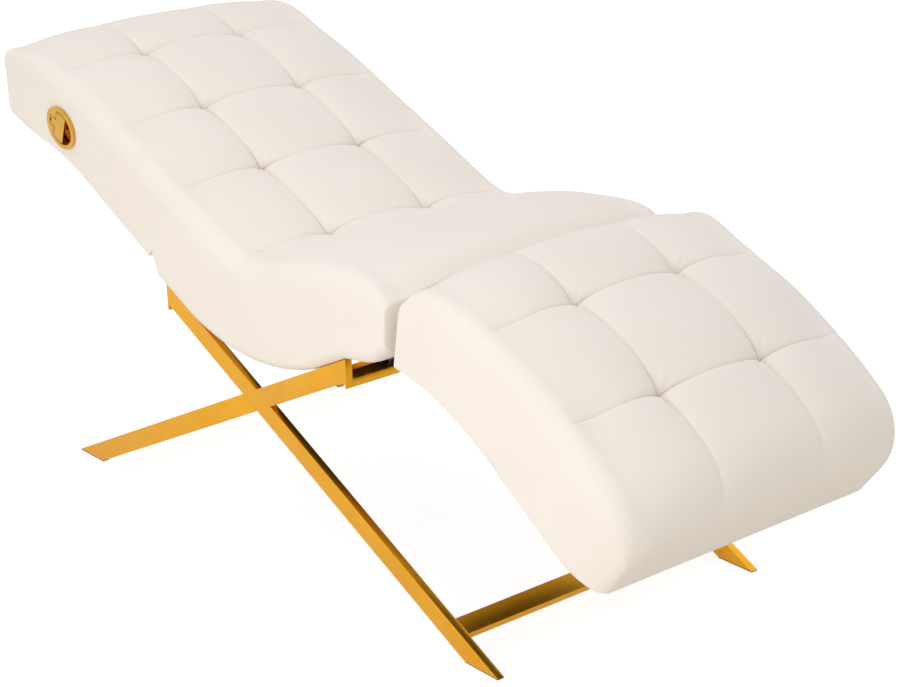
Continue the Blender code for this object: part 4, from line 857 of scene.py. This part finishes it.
def seat_blocks():
    """The well over the belly cloth and the slots for the two pairs of hinge plates."""
    low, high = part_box("seat_board")
    rail_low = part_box("seat_left_rail")[0]
    well = [
        (low.x, SEAT_WELL_FLOOR), (high.x, SEAT_WELL_FLOOR), (high.x, high.z), (low.x, high.z)
    ]
    notch = [
        (low.x, low.z), (FOLD.x + SEAT_SLOT_END, low.z),
        (FOLD.x + EYE_CLEAR, FOLD.z + EYE_CLEAR), (FOLD.x - EYE_CLEAR, FOLD.z + EYE_CLEAR),
    ]
    hinge = PIVOTS["leg_rest_tilt"]
    front = [
        (high.x, rail_low.z), (hinge.x + EYE_CLEAR, rail_low.z),
        (hinge.x + EYE_CLEAR, hinge.z + EYE_CLEAR), (high.x, hinge.z + EYE_CLEAR),
    ]
    back_slots, leg_slots = slots(notch, SLOT_INNER), slots(front, LEG_SLOT_INNER)
    cuts = [block(well, -WELL_HALF, WELL_HALF)]
    for pair in zip(back_slots, leg_slots):
        cuts += pair
    return cuts


def leg_rest_blocks():
    """The well under the leg rest and the slots for its hinge arms."""
    hinge = PIVOTS["leg_rest_tilt"]
    u, w = LEG_SLANT.local(hinge.x, hinge.z)
    well = LEG_SLANT.box(*LEG_WELL, -LEG_WELL_DEPTH, LEG_WELL_DEPTH)
    groove = LEG_SLANT.box(u - EYE_CLEAR, LEG_SLOT_END, w - 2 * EYE_CLEAR, LEG_SLOT_TOP)
    return [block(well, -WELL_HALF, WELL_HALF), *slots(groove, LEG_SLOT_INNER)]


def couch_cover():
    """One sewn cover over backrest and seat, with a notch under the fold."""
    rows = [*BACK_SEAMS, FOLD_X, SEAT_SEAM]
    places = steps_between(HEAD_TOP_X, SEAT_FRONT_X, rows)
    back = [x for x in places if x < FOLD_X - CREASE_STEPS[0] / 2]
    seat = [x for x in places if x > FOLD_X + CREASE_STEPS[0] / 2]
    slices, widths = [], []
    for x in back:
        t = (x - back[0]) / (back[-1] - back[0])
        under = HEAD_LOW_X + (BACK_LOW_X - HEAD_LOW_X) * t
        slices.append(((under, back_bottom(under)), (x, back_top(x))))
        widths.append(half_at(t))
    notch_x = (BACK_LOW_X + SEAT_LOW_X) / 2
    notch_z = (slices[-1][0][1] + seat_bottom(SEAT_LOW_X)) / 2 + NOTCH_DEPTH
    slices.append(((notch_x, notch_z), (FOLD_X, (back_top(FOLD_X) + seat_top(FOLD_X)) / 2)))
    widths.append(HALF_WIDTH - NOTCH_DRAW)
    for x in seat:
        t = (x - seat[0]) / (seat[-1] - seat[0])
        under = SEAT_LOW_X + (SEAT_FRONT_LOW_X - SEAT_LOW_X) * t
        slices.append(((under, seat_bottom(under)), (x, seat_top(x))))
        widths.append(half_at(t))
    unders = [UNDER_ROUND] * (len(back) + 1)
    for x in seat:
        run = smoothstep((x - seat[0]) / BELLY_ROUND_RUN)
        unders.append(UNDER_ROUND + (BELLY_ROUND - UNDER_ROUND) * float(run))
    crown = curve_through(
        [
            (HEAD_TOP_X, HEAD_CROWN), (BACK_SEAMS[0], (HEAD_CROWN + BACK_CROWN) / 2),
            (BACK_SEAMS[1], BACK_CROWN), (FOLD_X, BACK_CROWN), (SEAT_SEAM, SEAT_CROWN),
            (SEAT_FRONT_X, SEAT_CROWN),
        ]
    )
    sewing = Quilting(
        rows, HEAD_TOP_X, SEAT_FRONT_X, COUCH_SEAM_END, plain_from=SEAT_SEAM
    )
    ends = ((HEAD_BULGE, HEAD_ROUNDS), (SEAT_FRONT_BULGE, SEAT_FRONT_ROUNDS))
    item = lofted("couch_cover", slices, widths, unders, crown, sewing, ends)
    hollow(item, back_blocks() + seat_blocks())
    dress(item, "velvet")
    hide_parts("back_cushion", "seat_cushion")
    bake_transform(item)


def leg_rest_cover():
    """The leg rest's own cover, quilted in the same columns."""
    slices, widths = [], []
    tops = steps_between(*LEG_TOP_ENDS, LEG_SEAMS)
    for x in tops:
        t = (x - tops[0]) / (tops[-1] - tops[0])
        under = LEG_LOW_ENDS[0] + (LEG_LOW_ENDS[1] - LEG_LOW_ENDS[0]) * t
        slices.append(((under, leg_rest_bottom(under)), (x, leg_rest_top(x))))
        widths.append(half_at(t))
    sewing = Quilting(LEG_SEAMS, LEG_TOP_ENDS[0], LEG_TOP_ENDS[1] + FOOT_BULGE, LEG_SEAM_END)
    ends = ((LEG_REAR_BULGE, LEG_REAR_ROUNDS), (FOOT_BULGE, FOOT_ROUNDS))
    unders = [
        UNDER_ROUND
        + (FOOT_UNDER_ROUND - UNDER_ROUND) * float(smoothstep((x - tops[-1]) / FOOT_UNDER_RUN + 1))
        for x in tops
    ]
    item = lofted("leg_rest_cover", slices, widths, unders, lambda x: LEG_CROWN, sewing, ends)
    hollow(item, leg_rest_blocks())
    dress(item, "velvet")
    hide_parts("leg_rest_cushion")
    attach(item, "leg_rest")


def carried_by(name):
    """The body that a node of the frame rides on."""
    bodies = frame["record"]["behaviour"]["bodies"]
    return next(body for body, members in bodies.items() if name in members)


def ease(name, slot, width):
    """The same metal piece with its sharp edges broken, as paint and plating leave them."""
    item = frame["nodes"][name].copy()
    item.data = item.data.copy()
    item.name = f"{name}_eased"
    bpy.context.scene.collection.objects.link(item)
    shape = bmesh.new()
    shape.from_mesh(item.data)
    bmesh.ops.remove_doubles(shape, verts=shape.verts, dist=SAME_POINT)
    bmesh.ops.dissolve_limit(
        shape, angle_limit=FLAT_ANGLE, verts=shape.verts, edges=shape.edges
    )
    sharp = [
        edge for edge in shape.edges
        if edge.is_manifold and edge.calc_face_angle() > CORNER_ANGLE
    ]
    bmesh.ops.bevel(
        shape, geom=sharp, offset=width, segments=EASE_SEGMENTS, profile=0.5, affect="EDGES",
        clamp_overlap=True,
    )
    shape.to_mesh(item.data)
    shape.free()
    item.data.shade_smooth()
    item.data.set_sharp_from_angle(angle=SHARP_METAL_EDGE)
    dress(item, slot)
    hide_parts(name)
    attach(item, carried_by(name))


def ease_edges():
    """Tubes, crossbars and the handle lose the hard corners of the plain solids."""
    for side in ("right", "left"):
        for leg in ("foot_end_leg", "head_end_leg_upper", "head_end_leg_lower"):
            ease(f"{side}_{leg}", "gold_paint", TUBE_EASE)
    for end in ("foot_end", "head_end"):
        for bar in ("floor_crossbar", "top_crossbar"):
            ease(f"{end}_{bar}", "gold_paint", TUBE_EASE)
    ease("release_handle_cup", "gold_plate", TUBE_EASE)
    ease("release_lever", "gold_plate", LEVER_EASE)


def stretched_cloth(name, sag):
    """A dust cover as one taut layer of cloth, stapled along its edges, that sags a little."""
    solid = frame["nodes"][name]
    turn = solid.matrix_world.inverted()
    low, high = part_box(name)
    up = Vector((0, 0, 1))

    def height(x):
        faces = []
        for start, way in ((low.z - PROBE_START, up), (high.z + PROBE_START, -up)):
            origin = turn @ Vector((x, PROBE_ASIDE, start))
            found = solid.ray_cast(origin, turn.to_3x3() @ way)
            if found[0]:
                faces.append((solid.matrix_world @ found[1]).z)
        return sum(faces) / len(faces)

    xs = np.linspace(low.x + CLOTH_INSET, high.x - CLOTH_INSET, CLOTH_STEPS)
    zs = [height(float(x)) for x in xs]
    ys = np.linspace(low.y + CLOTH_INSET, high.y - CLOTH_INSET, CLOTH_STEPS)
    verts = []
    for i, (x, z) in enumerate(zip(xs, zs)):
        along = i / (CLOTH_STEPS - 1)
        for y in ys:
            across = (y - low.y) / (high.y - low.y)
            belly = math.sin(math.pi * along) * math.sin(math.pi * across)
            rim = min(along, across, 1 - along, 1 - across)
            waves = math.cos(2 * math.pi * STAPLE_COUNT * (across + along))
            pull = STAPLE_PULL * waves * math.exp(-rim / STAPLE_FADE)
            verts.append((x, y, z - sag * belly - pull))
    faces = []
    for i in range(CLOTH_STEPS - 1):
        for j in range(CLOTH_STEPS - 1):
            k = i * CLOTH_STEPS + j
            faces.append((k, k + 1, k + 1 + CLOTH_STEPS, k + CLOTH_STEPS))
    mesh = bpy.data.meshes.new(f"{name}_cloth")
    mesh.from_pydata(verts, [], faces)
    mesh.validate()
    mesh.shade_smooth()
    cloth = bpy.data.objects.new(f"{name}_cloth", mesh)
    bpy.context.scene.collection.objects.link(cloth)
    dress(cloth, "dust_cloth")
    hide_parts(name)
    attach(cloth, carried_by(name))


def dress_frame():
    """Each part of the frame keeps its shape and gets its finish."""
    slot_of = {part["node"]: part["material_slot"] for part in frame["record"]["subparts"]}
    hidden = {"back_cushion", "seat_cushion", "leg_rest_cushion"}
    for name, item in frame["nodes"].items():
        if name not in hidden:
            dress(item, slot_of[name])


def add_camera():
    """Long lens from the foot end's right side, a little above the bed."""
    az, el = CAMERA_AZIMUTH, CAMERA_RISE
    back = Vector((math.sin(az) * math.cos(el), -math.cos(az) * math.cos(el), math.sin(el)))
    right = Vector((math.cos(az), math.sin(az), 0))
    up = back.cross(right)
    c, s = math.cos(CAMERA_ROLL), math.sin(CAMERA_ROLL)
    turned = Matrix((c * right + s * up, c * up - s * right, back)).transposed()
    camera = bpy.data.objects.new("camera", bpy.data.cameras.new("camera"))
    camera.data.lens = LENS_MM
    camera.data.sensor_width = SENSOR_MM
    camera.matrix_world = Matrix.Translation(
        CAMERA_PLACE + Vector((FRAME_X, 0, 0))
    ) @ turned.to_4x4()
    bpy.context.scene.collection.objects.link(camera)
    bpy.context.scene.camera = camera


def seen(tree, in_metal):
    """1 where the camera sees the surface, also through glass, and 0 where it only gives light.

    Reflections see it by the share in_metal.
    """
    path = node(tree, "ShaderNodeLightPath")
    mirror = node(
        tree, "ShaderNodeMath", {"operation": "MULTIPLY"}, _0=(path, "Is Glossy Ray"), _1=in_metal
    )
    straight = node(
        tree, "ShaderNodeMath", {"operation": "MAXIMUM"},
        _0=(path, "Is Camera Ray"), _1=(path, "Is Transmission Ray"),
    )
    return node(
        tree, "ShaderNodeMath", {"operation": "MAXIMUM"},
        _0=(mirror, "Value"), _1=(straight, "Value"),
    )


def add_floor():
    """A pale floor: seen as white, but it still takes the shadow of the bed."""
    mesh = bpy.data.meshes.new("floor")
    r = FLOOR_HALF
    mesh.from_pydata([(-r, -r, 0), (r, -r, 0), (r, r, 0), (-r, r, 0)], [], [(0, 1, 2, 3)])
    floor = bpy.data.objects.new("floor", mesh)
    bpy.context.scene.collection.objects.link(floor)
    material, tree, shader = surface(
        "matt_white_studio_floor", Base_Color=linear("#EEEAE0"), Roughness=0.9
    )
    shade = node(tree, "ShaderNodeBsdfDiffuse", Color=(0.3, 0.3, 0.3, 1))
    glow = node(tree, "ShaderNodeEmission", Color=(1, 1, 1, 1), Strength=FLOOR_GLOW)
    both = node(tree, "ShaderNodeAddShader", _0=(shade, "BSDF"), _1=(glow, "Emission"))
    mix = node(
        tree, "ShaderNodeMixShader", _0=(seen(tree, FLOOR_IN_METAL), "Value"),
        _1=(shader, "BSDF"), _2=(both, "Shader"),
    )
    link(tree, mix, "Shader", tree.nodes["Material Output"], "Surface")
    floor.data.materials.append(material)


def add_world():
    """A soft dome, brightest overhead. The camera and reflections see it plain white."""
    world = bpy.data.worlds.new("studio")
    bpy.context.scene.world = world
    world.use_nodes = True
    tree = world.node_tree
    background = tree.nodes["Background"]
    place = node(tree, "ShaderNodeTexCoord")
    split = node(tree, "ShaderNodeSeparateXYZ", Vector=(place, "Generated"))
    dome = node(
        tree, "ShaderNodeMapRange", Value=(split, "Z"), From_Min=0.0, From_Max=1.0,
        To_Min=DOME_LEVELS[0], To_Max=DOME_LEVELS[1],
    )
    level = node(
        tree, "ShaderNodeMix", {"data_type": "FLOAT"}, Factor=(seen(tree, 1.0), "Value"),
        A=(dome, "Result"), B=1.0,
    )
    link(tree, level, "Result", background, "Strength")
    background.inputs["Color"].default_value = (1, 1, 1, 1)


def add_light(name, place, aim, size, power):
    """A soft box of this width and height at a place, turned to its aim."""
    lamp = bpy.data.lights.new(name, "AREA")
    lamp.shape = "RECTANGLE"
    lamp.size, lamp.size_y = size
    lamp.energy = power
    item = bpy.data.objects.new(name, lamp)
    item.location = place
    item.rotation_euler = (Vector(aim) - Vector(place)).to_track_quat("-Z", "Y").to_euler()
    bpy.context.scene.collection.objects.link(item)


dress_frame()
ease_edges()
for covered, sag in CLOTH_SAGS.items():
    stretched_cloth(f"{covered}_dust_cover", sag)
couch_cover()
leg_rest_cover()
add_camera()
add_floor()
add_world()
for light in LIGHTS:
    add_light(*light)
bpy.context.scene.view_settings.view_transform = "Standard"
